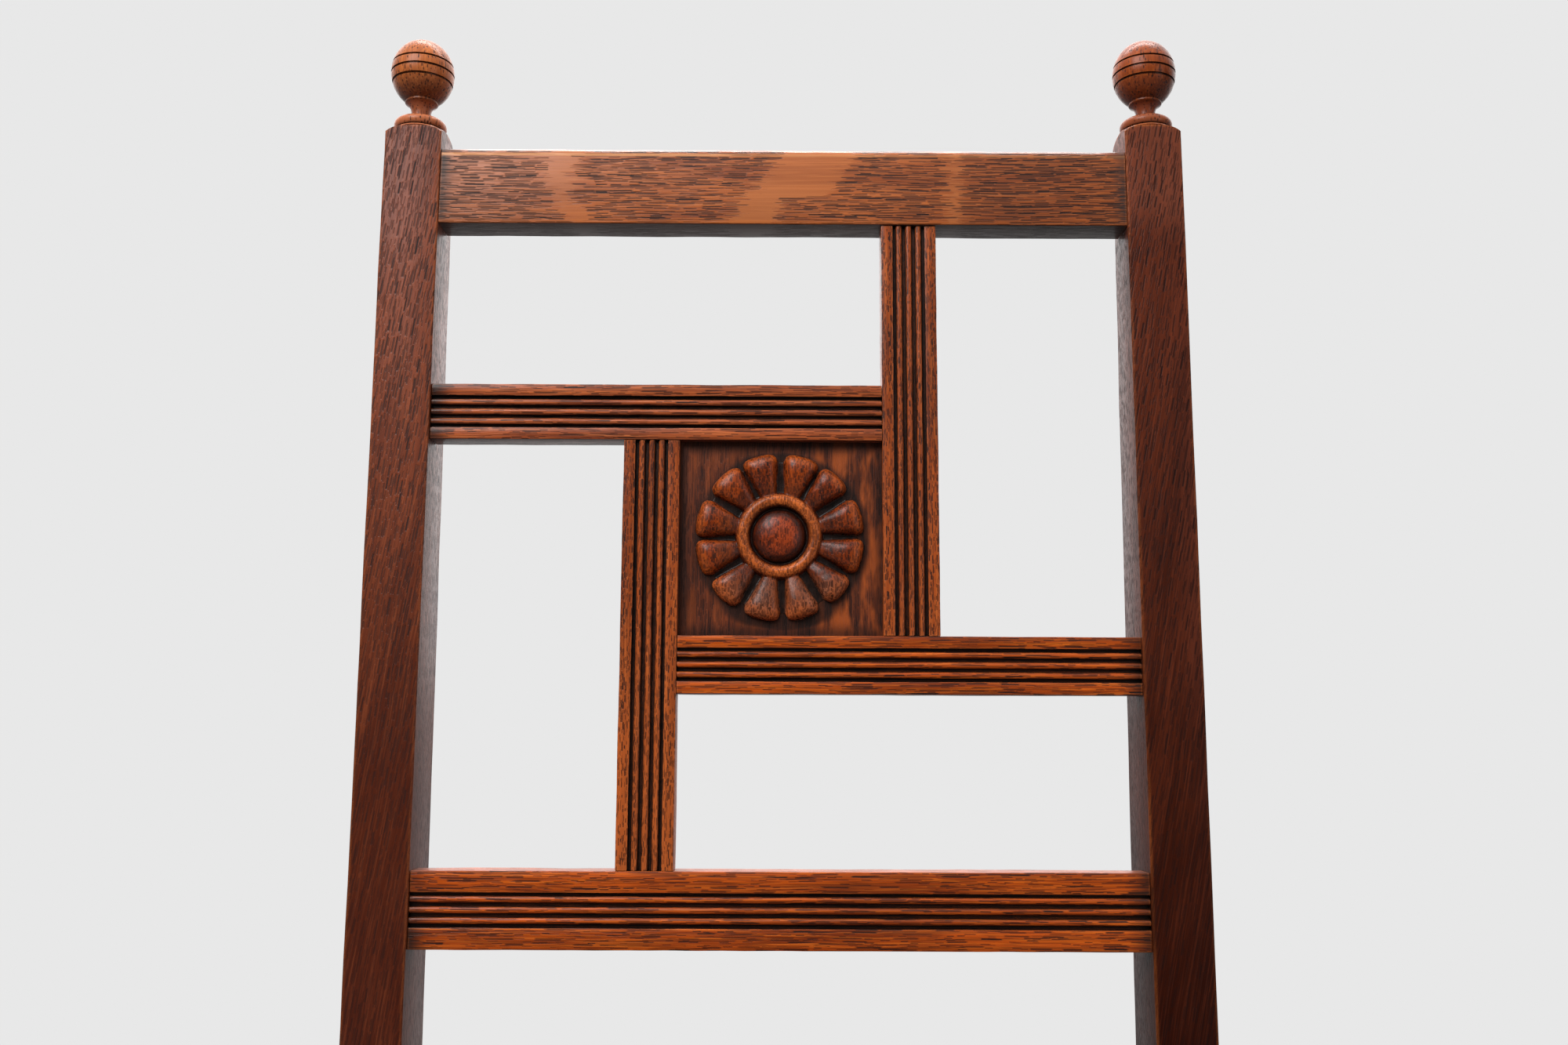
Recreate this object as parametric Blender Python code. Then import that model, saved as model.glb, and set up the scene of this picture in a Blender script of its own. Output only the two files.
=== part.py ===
"""Oak side chair with ball finials, a reeded lattice back and a carved rosette.

Metres, +Z up, front facing -Y, left and right as seen from the front.
The origin is the middle of the chair's footprint box, on the floor.
"""
import math

import bmesh
import bpy
from mathutils import Vector

# Fits
GAP = 0.0003                 # space between two pieces that touch
TENON_ROOT = 0.005           # part of a tenon that lies inside its own bar
CUT_PAST = 0.010             # how far a cut runs out of the surface that it opens

# Seat plan
SEAT_DEPTH = 0.400           # front of the front legs to the front of the posts
FRONT_WIDTH = 0.480          # outside of one front leg to outside of the other
BACK_WIDTH = 0.450           # outside of one back post to outside of the other

# Seat rails
SEAT_RAIL_TOP = 0.440
SEAT_RAIL_HEIGHT = 0.060
SEAT_RAIL_THICKNESS = 0.024
RAIL_REVEAL = 0.0015         # step from a leg's face back to a rail's face
BACK_RAIL_LEDGE = 0.010      # front of the back rail stands this far before the posts
BACK_RAIL_DEPTH = 0.022      # part of the back rail that lies between the posts
RECESS_LIP = 0.012           # width of the rails' top edge around the drop-in seat
RECESS_DEPTH = 0.016
RAIL_TENON_LENGTH = 0.016
RAIL_TENON_THICKNESS = 0.010
RAIL_TENON_HEIGHT = 0.030
RAIL_TENON_RISE = 0.008      # tenon's lower edge above the rail's lower edge
POST_SIDE_WALL = 0.006       # wood left outside a side rail's mortise in a post
BACK_RAIL_TENON_LENGTH = 0.013

# Back posts, one piece with the rear legs
POST_WIDTH = 0.032
POST_TOP_DEPTH = 0.030
POST_SEAT_DEPTH = 0.047
POST_FOOT_DEPTH = 0.034
RAKE = math.radians(7.5)
KICK = math.radians(6.0)
BEND_ABOVE_RAIL = 0.022      # the rake starts this far above the seat rails
KNEE_BELOW_RAIL = 0.022      # the kick starts this far below them
BEND_RADIUS = 0.150
BEND_STEPS = 4
POST_TOP_RISE = 0.0125       # post top above the crest rail
POMMEL_RISE = 0.0062         # height of the rounded shoulder on a turned square
POMMEL_SEAT = 0.45           # shoulder's small radius, as part of the square's width
POMMEL_REACH = 0.75          # and its large one, past the square's corners
SHOULDER_SIDES = 40

# Back rails, heights along the posts from the bend
BOTTOM_RAIL_RISE = 0.100
BOTTOM_RAIL_HEIGHT = 0.040
BOTTOM_RAIL_THICKNESS = 0.018
OPENING_HEIGHT = 0.3535      # bottom rail to crest rail
CREST_HEIGHT = 0.045
CREST_THICKNESS = 0.022
CREST_ROUND = 0.0065
CREST_SETBACK = 0.001        # behind the front of the posts
BOTTOM_RAIL_SETBACK = 0.002
LATTICE_SETBACK = 0.0025
ROUND_STEPS = 5
BEAD_STEPS = 4
SHARP_ANGLE = math.radians(40)

# Lattice of reeded bars around a square panel
PANEL_WIDTH = 0.110          # opening between the stiles
PANEL_HEIGHT = 0.107         # opening between the rails
LATTICE_RAIL_WIDTH = 0.031
LATTICE_STILE_WIDTH = 0.0305
LATTICE_THICKNESS = 0.0165
LATTICE_TENON_LENGTH = 0.014
LATTICE_TENON_THICKNESS = 0.007
TENON_SHOULDER = 0.005
GROOVE_DEPTH = 0.005
GROOVE_WALL = 0.003          # wood between the panel's groove and a mortise
PANEL_RECESS = 0.006         # panel's ground behind the face of the bars
PANEL_THICKNESS = 0.0065

# Reeds
REED_COUNT = 3
REED_WIDTH = 0.0045
REED_HEIGHT = 0.0020
REED_DEPTH = 0.0022          # sunk band that the reeds stand in
REED_QUIRK = 0.0009          # flat between two reeds
REED_STEPS = 6

# Rosette
PETALS = 12
PETAL_TURNS = (-1.0, -0.82, -0.45, 0.0, 0.45, 0.82)
PETAL_ROWS = (0.15, 0.40, 0.65, 0.85, 0.96, 1.0)
ROSETTE_RADIUS = 0.045
PETAL_NOTCH = 0.008          # how far the valley's end stands back from the petals' ends
NOTCH_POWER = 4              # roundness of a petal's end; more is squarer
PETAL_HEIGHT = 0.0055
PETAL_ROOT_HEIGHT = 0.0022
PETAL_ROOT_SHARE = 0.72      # part of its sector that a petal fills at the ring
PETAL_END_SHARE = 0.93       # and at its outer end
PETAL_CROWN = 0.60           # where along a petal its end starts to round over
PETAL_POWER = 3              # fullness of a petal's section; more is squarer
VALLEY_HEIGHT = 0.0006
RING_OUTER = 0.0230
RING_INNER = 0.0162
RING_HEIGHT = 0.0052
RING_STEPS = 5
BOSS_RADIUS = 0.0130
BOSS_HEIGHT = 0.0048
BOSS_STEPS = 3

# Finials
FINIAL_SIDES = 20
BALL_RADIUS = 0.01785
BALL_RISE = 0.0392           # ball's middle above the post top
BALL_STEP = math.radians(18.6)
BALL_CAP = math.radians(83.7)
BALL_RINGS = (-1, 0, 1)
BALL_RING_MIDDLE = math.radians(-2.2)
BALL_RING_WIDTH = 0.0010
BALL_RING_DEPTH = 0.0007
COLLAR_RADIUS = 0.0087
COLLAR_HEIGHT = 0.0045
NECK_RADIUS = 0.0058
NECK_TURN = math.radians(45)
FILLET_RADIUS = 0.0102
FILLET_HEIGHT = 0.0012
BASE_RING_RADIUS = 0.0148
BASE_RING_HEIGHT = 0.0092
SPIGOT_RADIUS = 0.0050
SPIGOT_LENGTH = 0.018

# Front legs
LEG_WIDTH = 0.038
LEG_SIDES = 16
LEG_BLOCK_DROP = 0.008       # upper block reaches this far below the seat rails
FOOT_RADIUS = 0.0170
FOOT_HEIGHT = 0.030
FOOT_BULGE = 1.2             # height of the foot's whole oval to the height that is kept
FOOT_STEPS = 6
ANKLE_RADIUS = 0.0100
LEG_BEAD = 0.0030
ANKLE_SPACE = 0.0045         # ankle to the middle of its bead
BLOCK_SPACE = 0.0075         # a block to the middle of the next bead
SHANK_RADIUS = 0.0120        # thin end of each tapered length
SHAFT_RADIUS = 0.0160        # thick end of each tapered length
SHAFT_RING_STEP = 0.0060
SHAFT_RING_WIDTH = 0.0012
SHAFT_RING_DEPTH = 0.0008

# Stretchers
STRETCHER_LEVEL = 0.155
STRETCHER_HEIGHT = 0.026
STRETCHER_THICKNESS = 0.018
STRETCHER_BLOCK = 0.060      # height of the leg's lower block
STRETCHER_TENON_LENGTH = 0.016
STRETCHER_TENON_THICKNESS = 0.008
MIDDLE_STRETCHER_HEIGHT = 0.022
MIDDLE_TENON_LENGTH = 0.010
BACK_STRETCHER_LEVEL = 0.235

# Corner braces and their screws
BRACE_NEAR = 0.032           # brace's near and far edges, along the rails from the corner
BRACE_FAR = 0.062
BRACE_HEIGHT = 0.028
BRACE_RISE = 0.010           # above the rails' lower edge
SCREW_RADIUS = 0.0020
SCREW_HEAD_RADIUS = 0.0040
SCREW_HEAD_HEIGHT = 0.0024
SCREW_HEAD_SLACK = 0.0008
SCREW_SEAT = 0.008           # head's seat before the rail's face
SCREW_BITE = 0.013           # thread in the rail
SCREW_TIP = 0.005
SCREW_TIP_RADIUS = 0.0004
SCREW_HEAD_CAP = math.radians(72)
SCREW_HEAD_STEPS = 3
SCREW_SLOT_WIDTH = 0.0009
SCREW_SLOT_DEPTH = 0.0012
SCREW_SIDES = 12

# Drop-in seat
SEAT_CLEARANCE = 0.0015      # cover to the recess's wall
LEATHER_THICKNESS = 0.0015
FRAME_THICKNESS = 0.016
FRAME_WIDTH = 0.050
FRAME_TENON_LENGTH = 0.022
FRAME_TENON_WIDTH = 0.030
FRAME_TENON_THICKNESS = 0.006
WEB_WIDTH = 0.050
WEB_THICKNESS = 0.0012
WEB_PITCH = 0.100
WEB_LAP = 0.032              # length of a strap's end on the frame
WEB_CROSS_SLACK = 0.005      # flat past each side of a crossing strap
STRAPS = (-1, 0, 1)
HESSIAN_THICKNESS = 0.0008
HESSIAN_MARGIN = 0.006
STUFFING_EDGE = 0.006        # thickness of the stuffing at its edge
STUFFING_CROWN = 0.026       # and how much more at its middle
CROWN_CELLS = 10
CROWN_POWER = 2.4            # flatness of the crown's middle
CROWN_FULLNESS = 0.8         # steepness of its edges; less is steeper

# Finishes: colour, roughness, metallic
OAK = ("oak", (0.23, 0.075, 0.030), 0.45, 0.0)
CARVED_OAK = ("carved_oak", (0.20, 0.060, 0.022), 0.42, 0.0)
GROUND_OAK = ("ground_oak", (0.075, 0.030, 0.018), 0.60, 0.0)
BEECH = ("beech", (0.42, 0.26, 0.14), 0.65, 0.0)
LEATHER = ("leather", (0.075, 0.030, 0.016), 0.45, 0.0)
WEBBING = ("webbing", (0.36, 0.27, 0.17), 0.90, 0.0)
HESSIAN = ("hessian", (0.40, 0.29, 0.17), 0.95, 0.0)
HORSEHAIR = ("horsehair", (0.05, 0.035, 0.025), 0.95, 0.0)
STEEL = ("steel", (0.30, 0.28, 0.26), 0.50, 1.0)

# Places that follow from the sizes above
POST_INNER = BACK_WIDTH / 2 - POST_WIDTH
POST_AXIS = BACK_WIDTH / 2 - POST_WIDTH / 2
SEAT_RAIL_BOTTOM = SEAT_RAIL_TOP - SEAT_RAIL_HEIGHT
RECESS_BOTTOM = SEAT_RAIL_TOP - RECESS_DEPTH
BEND_HEIGHT = SEAT_RAIL_TOP + BEND_ABOVE_RAIL
KNEE_HEIGHT = SEAT_RAIL_BOTTOM - KNEE_BELOW_RAIL
FOOT_SETBACK = KNEE_HEIGHT * math.tan(KICK)
BOTTOM_RAIL_TOP = BOTTOM_RAIL_RISE + BOTTOM_RAIL_HEIGHT
CREST_BOTTOM = BOTTOM_RAIL_TOP + OPENING_HEIGHT
CREST_TOP = CREST_BOTTOM + CREST_HEIGHT
POST_TOP = CREST_TOP + POST_TOP_RISE
LATTICE_MIDDLE = BOTTOM_RAIL_TOP + OPENING_HEIGHT / 2
LATTICE_DEPTH = LATTICE_SETBACK + LATTICE_THICKNESS / 2
PANEL_FRONT = LATTICE_SETBACK + PANEL_RECESS
BALL_BACK = (POST_TOP_DEPTH / 2 * math.cos(RAKE) + (POST_TOP + BALL_RISE) * math.sin(RAKE)
             + BALL_RADIUS)
CHAIR_SHIFT = (SEAT_DEPTH - BALL_BACK) / 2
LEG_INNER = FRONT_WIDTH / 2 - LEG_WIDTH
LEG_BACK = LEG_WIDTH - SEAT_DEPTH
FRAME_BOTTOM = RECESS_BOTTOM + GAP
FRAME_TOP = FRAME_BOTTOM + FRAME_THICKNESS
FRAME_INSET = SEAT_CLEARANCE + LEATHER_THICKNESS + GAP
WEB_WAVE = (WEB_THICKNESS + GAP) / 2
WEB_LEVEL = FRAME_TOP + GAP + WEB_THICKNESS / 2 + WEB_WAVE
HESSIAN_BOTTOM = WEB_LEVEL + WEB_WAVE + WEB_THICKNESS / 2 + GAP
STUFFING_BOTTOM = HESSIAN_BOTTOM + HESSIAN_THICKNESS + GAP
COVER_EDGE = STUFFING_BOTTOM + STUFFING_EDGE + GAP + LEATHER_THICKNESS


# Building blocks

def clear_scene():
    for existing in list(bpy.data.objects):
        bpy.data.objects.remove(existing, do_unlink=True)


def finish_of(values):
    name, colour, roughness, metallic = values
    material = bpy.data.materials.get(name)
    if material is None:
        material = bpy.data.materials.new(name)
        material.use_nodes = True
        shader = material.node_tree.nodes["Principled BSDF"]
        shader.inputs["Base Color"].default_value = (*colour, 1.0)
        shader.inputs["Roughness"].default_value = roughness
        shader.inputs["Metallic"].default_value = metallic
        material.diffuse_color = (*colour, 1.0)
    return material


def empty(name, parent, location, tilt=0.0):
    """A frame of reference, turned about X by tilt."""
    frame = bpy.data.objects.new(name, None)
    bpy.context.scene.collection.objects.link(frame)
    frame.parent = parent
    frame.location = location
    frame.rotation_euler = (tilt, 0.0, 0.0)
    return frame


def piece(name, mesh, parent, finish):
    """A named part of the chair."""
    part = bpy.data.objects.new(name, mesh)
    mesh.materials.append(finish_of(finish))
    bpy.context.scene.collection.objects.link(part)
    part.parent = parent
    return part


def tool(name, mesh, parent):
    """A shape that only adds to or cuts other shapes."""
    shape = bpy.data.objects.new(name, mesh)
    bpy.context.scene.collection.objects.link(shape)
    shape.parent = parent
    shape.hide_render = True
    shape.display_type = "WIRE"
    return shape


def combine(part, shape, operation):
    modifier = part.modifiers.new(f"{operation.lower()} {shape.name}", "BOOLEAN")
    modifier.operation = operation
    modifier.object = shape


def finished_mesh(bm, name, smooth=False):
    bmesh.ops.recalc_face_normals(bm, faces=bm.faces)
    mesh = bpy.data.meshes.new(name)
    bm.to_mesh(mesh)
    bm.free()
    if smooth:
        mesh.shade_smooth()
        mesh.set_sharp_from_angle(angle=SHARP_ANGLE)
    return mesh


def prism(name, outline, low, high, axes):
    """A flat outline carried straight from low to high; axes names its two axes, then the third."""
    first, second, third = ("xyz".index(axis) for axis in axes)
    bm = bmesh.new()
    corners = []
    for a, b in outline:
        point = Vector()
        point[first] = a
        point[second] = b
        point[third] = low
        corners.append(bm.verts.new(point))
    base = bm.faces.new(corners)
    grown = bmesh.ops.extrude_face_region(bm, geom=[base])
    travel = Vector()
    travel[third] = high - low
    moved = [item for item in grown["geom"] if isinstance(item, bmesh.types.BMVert)]
    bmesh.ops.translate(bm, verts=moved, vec=travel)
    return finished_mesh(bm, name)


def box(name, x_span, y_span, z_span):
    (x0, x1), (y0, y1) = sorted(x_span), sorted(y_span)
    z0, z1 = sorted(z_span)
    return prism(name, [(x0, y0), (x1, y0), (x1, y1), (x0, y1)], z0, z1, "xyz")


def block(name, lower, upper):
    """A solid between a lower and an upper ring of corners."""
    bm = bmesh.new()
    low = [bm.verts.new(point) for point in lower]
    high = [bm.verts.new(point) for point in upper]
    bm.faces.new(low)
    bm.faces.new(high)
    for near in range(len(low)):
        far = (near + 1) % len(low)
        bm.faces.new((low[near], low[far], high[far], high[near]))
    return finished_mesh(bm, name)


def turned(name, profile, sides, centre=(0.0, 0.0), closed=False):
    """A lathe shape: profile holds (radius, height) from the bottom up; a closed one is a ring."""
    bm = bmesh.new()
    rings = []
    for radius, height in profile:
        ring = []
        for side in range(sides):
            turn = 2 * math.pi * (side + 0.5) / sides
            x = centre[0] + radius * math.cos(turn)
            y = centre[1] + radius * math.sin(turn)
            ring.append(bm.verts.new((x, y, height)))
        rings.append(ring)
    pairs = list(zip(rings, rings[1:]))
    if closed:
        pairs.append((rings[-1], rings[0]))
    else:
        bm.faces.new(rings[0])
        bm.faces.new(rings[-1])
    for lower, upper in pairs:
        for side in range(sides):
            following = (side + 1) % sides
            bm.faces.new((lower[side], lower[following], upper[following], upper[side]))
    return finished_mesh(bm, name, smooth=True)


def arc(centre, radius, start, stop, steps):
    """Points on a circle or, with a pair of radii, on an ellipse."""
    across, up = radius if isinstance(radius, tuple) else (radius, radius)
    points = []
    for step in range(steps + 1):
        angle = start + (stop - start) * step / steps
        points.append((centre[0] + across * math.cos(angle), centre[1] + up * math.sin(angle)))
    return points


def tenon(bar, receiver, x_span, y_span, z_span, parent):
    """A tenon on the bar, and its mortise, wider by the gap, in the piece that receives it."""
    name = f"{bar.name} to {receiver.name}"
    combine(bar, tool(f"tenon {name}", box(name, x_span, y_span, z_span), parent), "UNION")
    wider = []
    for span in (x_span, y_span, z_span):
        wider.append((min(span) - GAP, max(span) + GAP))
    combine(receiver, tool(f"mortise {name}", box(name, *wider), parent), "DIFFERENCE")


def pommel(level, direction, width):
    """Profile of the rounded shoulder where a square bar of this width turns round."""
    seat = width * POMMEL_SEAT
    reach = width * POMMEL_REACH - seat
    points = []
    for step in range(ROUND_STEPS + 1):
        angle = math.pi / 2 * step / ROUND_STEPS
        height = level + direction * POMMEL_RISE * (1 - math.cos(angle))
        points.append((seat + reach * math.sin(angle), height))
    return points


def bead(level, core, size):
    """Profile of a half-round ring on a round core."""
    return arc((core, level), size, -math.pi / 2, math.pi / 2, BEAD_STEPS)


def cut_ring(level, radius, width, depth):
    """Profile of a ring cut into a round surface."""
    return [(radius, level - width / 2), (radius - depth, level), (radius, level + width / 2)]


# Back posts

def rounded_path(points):
    """The path with its inner corners rounded by the bend radius."""
    path = [points[0]]
    for before, corner, after in zip(points, points[1:], points[2:]):
        corner = Vector(corner)
        into = (corner - Vector(before)).normalized()
        out = (Vector(after) - corner).normalized()
        reach = BEND_RADIUS * math.tan(into.angle(out) / 2)
        for step in range(BEND_STEPS + 1):
            share = step / BEND_STEPS
            start = corner - into * reach * (1 - share)
            stop = corner + out * reach * share
            path.append(tuple(start.lerp(stop, share)))
    path.append(points[-1])
    return path


def raked(depth, height):
    """A place on the raked back, as (y, z) in the chair."""
    y = depth * math.cos(RAKE) + height * math.sin(RAKE)
    return (y, BEND_HEIGHT + height * math.cos(RAKE) - depth * math.sin(RAKE))


def rear_leg_front(height):
    """Front face of the kicked rear leg."""
    return (KNEE_HEIGHT - height) * math.tan(KICK)


def rear_leg_middle(height):
    """Middle of the rear leg's depth, below the knee."""
    depth = POST_FOOT_DEPTH + (POST_SEAT_DEPTH - POST_FOOT_DEPTH) * height / KNEE_HEIGHT
    return rear_leg_front(height) + depth / 2


def back_post(side, name, chair, back):
    front = [(FOOT_SETBACK, 0.0), (0.0, KNEE_HEIGHT), (0.0, BEND_HEIGHT), raked(0.0, POST_TOP)]
    rear = [(FOOT_SETBACK + POST_FOOT_DEPTH, 0.0), (POST_SEAT_DEPTH, KNEE_HEIGHT),
            (POST_SEAT_DEPTH, BEND_HEIGHT), raked(POST_TOP_DEPTH, POST_TOP)]
    outline = rounded_path(front) + rounded_path(rear)[::-1]
    edges = sorted((side * POST_INNER, side * BACK_WIDTH / 2))
    post = piece(name, prism(name, outline, *edges, "yzx"), chair, OAK)
    centre = (side * POST_AXIS, POST_TOP_DEPTH / 2)
    shoulder = pommel(POST_TOP, -1, POST_WIDTH)
    seat, reach = shoulder[0][0], shoulder[-1][0] + CUT_PAST
    ring = [(seat - GAP, POST_TOP + CUT_PAST), (seat - GAP, POST_TOP + GAP)] + shoulder[1:]
    ring += [(reach, shoulder[-1][1]), (reach, POST_TOP + CUT_PAST)]
    combine(post, tool(f"shoulder {name}", turned(name, ring, SHOULDER_SIDES, centre, True), back),
            "DIFFERENCE")
    return post


def finial(side, name, post, back):
    """A turned ball on a neck, a collar and a base ring, with a spigot in the post's top."""
    centre = (side * POST_AXIS, POST_TOP_DEPTH / 2)
    base = POST_TOP + GAP
    ball = POST_TOP + BALL_RISE
    profile = [(SPIGOT_RADIUS, POST_TOP - SPIGOT_LENGTH), (SPIGOT_RADIUS, base)]
    half = BASE_RING_HEIGHT / 2
    core = BASE_RING_RADIUS - half
    profile += arc((core, base + half), half, -math.pi / 2, math.pi / 2, ROUND_STEPS)
    fillet = base + BASE_RING_HEIGHT
    profile += [(FILLET_RADIUS, fillet), (FILLET_RADIUS, fillet + FILLET_HEIGHT)]
    under = math.asin(COLLAR_RADIUS / BALL_RADIUS)
    collar_top = ball - BALL_RADIUS * math.cos(under)
    collar = collar_top - COLLAR_HEIGHT
    waist = (fillet + FILLET_HEIGHT + collar) / 2
    profile += arc((FILLET_RADIUS, waist), (FILLET_RADIUS - NECK_RADIUS, collar - waist),
                   math.pi + NECK_TURN, math.pi - NECK_TURN, BEAD_STEPS)
    profile += [(COLLAR_RADIUS, collar), (COLLAR_RADIUS, collar_top)]
    latitudes = [BALL_RING_MIDDLE + BALL_STEP * ring for ring in BALL_RINGS]
    stops = [under - math.pi / 2] + latitudes + [BALL_CAP]
    half_turn = BALL_RING_WIDTH / 2 / BALL_RADIUS
    for index, (low, high) in enumerate(zip(stops, stops[1:])):
        low_edge = low + half_turn
        high_edge = high - half_turn if index < len(latitudes) else high
        steps = max(2, round((high_edge - low_edge) / BALL_STEP))
        profile += arc((0.0, ball), BALL_RADIUS, low_edge, high_edge, steps)
        if index < len(latitudes):
            depth = BALL_RADIUS - BALL_RING_DEPTH
            profile.append((depth * math.cos(high), ball + depth * math.sin(high)))
    top = piece(name, turned(name, profile, FINIAL_SIDES, centre), back, OAK)
    socket = [(SPIGOT_RADIUS + GAP, POST_TOP - SPIGOT_LENGTH - GAP),
              (SPIGOT_RADIUS + GAP, POST_TOP + CUT_PAST)]
    combine(post, tool(f"socket {name}", turned(name, socket, FINIAL_SIDES, centre), back),
            "DIFFERENCE")
    return top


# Back rails and lattice

def reeded_outline(centre, width, front, thickness):
    """Section of a reeded bar: across its face, then back from its front."""
    band = REED_COUNT * REED_WIDTH + (REED_COUNT + 1) * REED_QUIRK
    floor = front + REED_DEPTH
    points = [(centre - width / 2, front), (centre - band / 2, front), (centre - band / 2, floor)]
    for reed in range(REED_COUNT):
        start = centre - band / 2 + REED_QUIRK + reed * (REED_WIDTH + REED_QUIRK)
        middle = (start + REED_WIDTH / 2, floor)
        points += arc(middle, (REED_WIDTH / 2, -REED_HEIGHT), math.pi, 0.0, REED_STEPS)
    points += [(centre + band / 2, floor), (centre + band / 2, front), (centre + width / 2, front)]
    points += [(centre + width / 2, front + thickness), (centre - width / 2, front + thickness)]
    return points


def crest_outline():
    """Section of the crest rail: height, then depth, with both top edges rounded."""
    front, rear = CREST_SETBACK, CREST_SETBACK + CREST_THICKNESS
    shoulder = CREST_TOP - CREST_ROUND
    points = [(CREST_BOTTOM, front)]
    points += arc((shoulder, front + CREST_ROUND), CREST_ROUND, -math.pi / 2, 0.0, ROUND_STEPS)
    points += arc((shoulder, rear - CREST_ROUND), CREST_ROUND, 0.0, math.pi / 2, ROUND_STEPS)
    points.append((CREST_BOTTOM, rear))
    return points


def span_about(middle, width):
    return (middle - width / 2, middle + width / 2)


def rail_between_posts(name, outline, posts, low, high, middle, back):
    """A back rail from post to post, tenoned into both."""
    length = POST_INNER - GAP
    rail = piece(name, prism(name, outline, -length, length, "zyx"), back, OAK)
    depths = span_about(middle, LATTICE_TENON_THICKNESS)
    for side, post in posts.items():
        reach = (side * (POST_INNER - TENON_ROOT), side * (POST_INNER + LATTICE_TENON_LENGTH))
        tenon(rail, post, reach, depths, (low + TENON_SHOULDER, high), back)
    return rail


def lattice(posts, crest, bottom, back):
    """Four reeded bars laid like a pinwheel: each ends on the side of the next."""
    depths = span_about(LATTICE_DEPTH, LATTICE_TENON_THICKNESS)
    half_width, half_height = PANEL_WIDTH / 2, PANEL_HEIGHT / 2
    rails, stiles = {}, {}
    for way, word in ((1, "upper"), (-1, "lower")):
        level = LATTICE_MIDDLE + way * (half_height + LATTICE_RAIL_WIDTH / 2)
        outline = reeded_outline(level, LATTICE_RAIL_WIDTH, LATTICE_SETBACK, LATTICE_THICKNESS)
        ends = sorted((-way * (POST_INNER - GAP), way * (half_width - GAP)))
        name = f"{word}_reeded_rail"
        rails[way] = piece(name, prism(name, outline, *ends, "zyx"), back, OAK)
        place = way * (half_width + LATTICE_STILE_WIDTH / 2)
        outline = reeded_outline(place, LATTICE_STILE_WIDTH, LATTICE_SETBACK, LATTICE_THICKNESS)
        far = CREST_BOTTOM if way > 0 else BOTTOM_RAIL_TOP
        ends = sorted((LATTICE_MIDDLE - way * (half_height - GAP), far - way * GAP))
        name = f"{word}_reeded_stile"
        stiles[way] = piece(name, prism(name, outline, *ends, "xyz"), back, OAK)
    for way in (1, -1):
        inner = half_height + GROOVE_DEPTH + GROOVE_WALL
        outer = half_height + LATTICE_RAIL_WIDTH - TENON_SHOULDER
        heights = (LATTICE_MIDDLE + way * inner, LATTICE_MIDDLE + way * outer)
        reach = (-way * (POST_INNER - TENON_ROOT), -way * (POST_INNER + LATTICE_TENON_LENGTH))
        tenon(rails[way], posts[-way], reach, depths, heights, back)
        reach = (way * (half_width - TENON_ROOT), way * (half_width + LATTICE_TENON_LENGTH))
        tenon(rails[way], stiles[way], reach, depths, heights, back)
        inner = half_width + GROOVE_DEPTH + GROOVE_WALL
        outer = half_width + LATTICE_STILE_WIDTH - TENON_SHOULDER
        widths = (way * inner, way * outer)
        far, carrier = (CREST_BOTTOM, crest) if way > 0 else (BOTTOM_RAIL_TOP, bottom)
        reach = (far - way * TENON_ROOT, far + way * LATTICE_TENON_LENGTH)
        tenon(stiles[way], carrier, widths, depths, reach, back)
        near = LATTICE_MIDDLE - way * half_height
        reach = (near + way * TENON_ROOT, near - way * LATTICE_TENON_LENGTH)
        tenon(stiles[way], rails[-way], widths, depths, reach, back)
    return list(rails.values()) + list(stiles.values())


def panel_slab(name, wider):
    half_width = PANEL_WIDTH / 2 + GROOVE_DEPTH - GAP + wider
    half_height = PANEL_HEIGHT / 2 + GROOVE_DEPTH - GAP + wider
    depths = (PANEL_FRONT - wider, PANEL_FRONT + PANEL_THICKNESS + wider)
    heights = (LATTICE_MIDDLE - half_height, LATTICE_MIDDLE + half_height)
    return box(name, (-half_width, half_width), depths, heights)


def carved_panel(bars, back):
    """The panel's ground, held in a groove of all four bars."""
    piece("carved_panel", panel_slab("carved_panel", 0.0), back, GROUND_OAK)
    groove = tool("panel groove", panel_slab("panel groove", GAP), back)
    for bar in bars:
        combine(bar, groove, "DIFFERENCE")


def petal_height(along, turn):
    """Height over the ground: along runs from ring to tip, turn across a petal from -1 to 1."""
    share = PETAL_ROOT_SHARE + (PETAL_END_SHARE - PETAL_ROOT_SHARE) * along
    across = max(0.0, 1 - abs(turn / share) ** PETAL_POWER)
    tip = max(0.0, along - PETAL_CROWN) / (1 - PETAL_CROWN)
    crest = PETAL_ROOT_HEIGHT + (PETAL_HEIGHT - PETAL_ROOT_HEIGHT) * math.sin(along * math.pi / 2)
    full = max(0.0, across * (1 - tip ** PETAL_POWER))
    return VALLEY_HEIGHT + (crest - VALLEY_HEIGHT) * math.sqrt(full)


def rosette_rows(turn):
    """Radius and height from the middle of the boss to the rim, at one turn across a petal."""
    rows = []
    for step in range(1, BOSS_STEPS + 1):
        angle = math.pi / 2 * step / BOSS_STEPS
        height = VALLEY_HEIGHT + (BOSS_HEIGHT - VALLEY_HEIGHT) * math.cos(angle)
        rows.append((BOSS_RADIUS * math.sin(angle), height))
    middle, half = (RING_OUTER + RING_INNER) / 2, (RING_OUTER - RING_INNER) / 2
    for across, height in arc((middle, VALLEY_HEIGHT), (half, RING_HEIGHT - VALLEY_HEIGHT),
                              math.pi, 0.0, RING_STEPS):
        rows.append((across, height))
    tip = ROSETTE_RADIUS - PETAL_NOTCH * turn ** NOTCH_POWER
    for along in PETAL_ROWS:
        rows.append((RING_OUTER + (tip - RING_OUTER) * along, petal_height(along, turn)))
    rows.append((tip, 0.0))
    return rows


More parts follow.
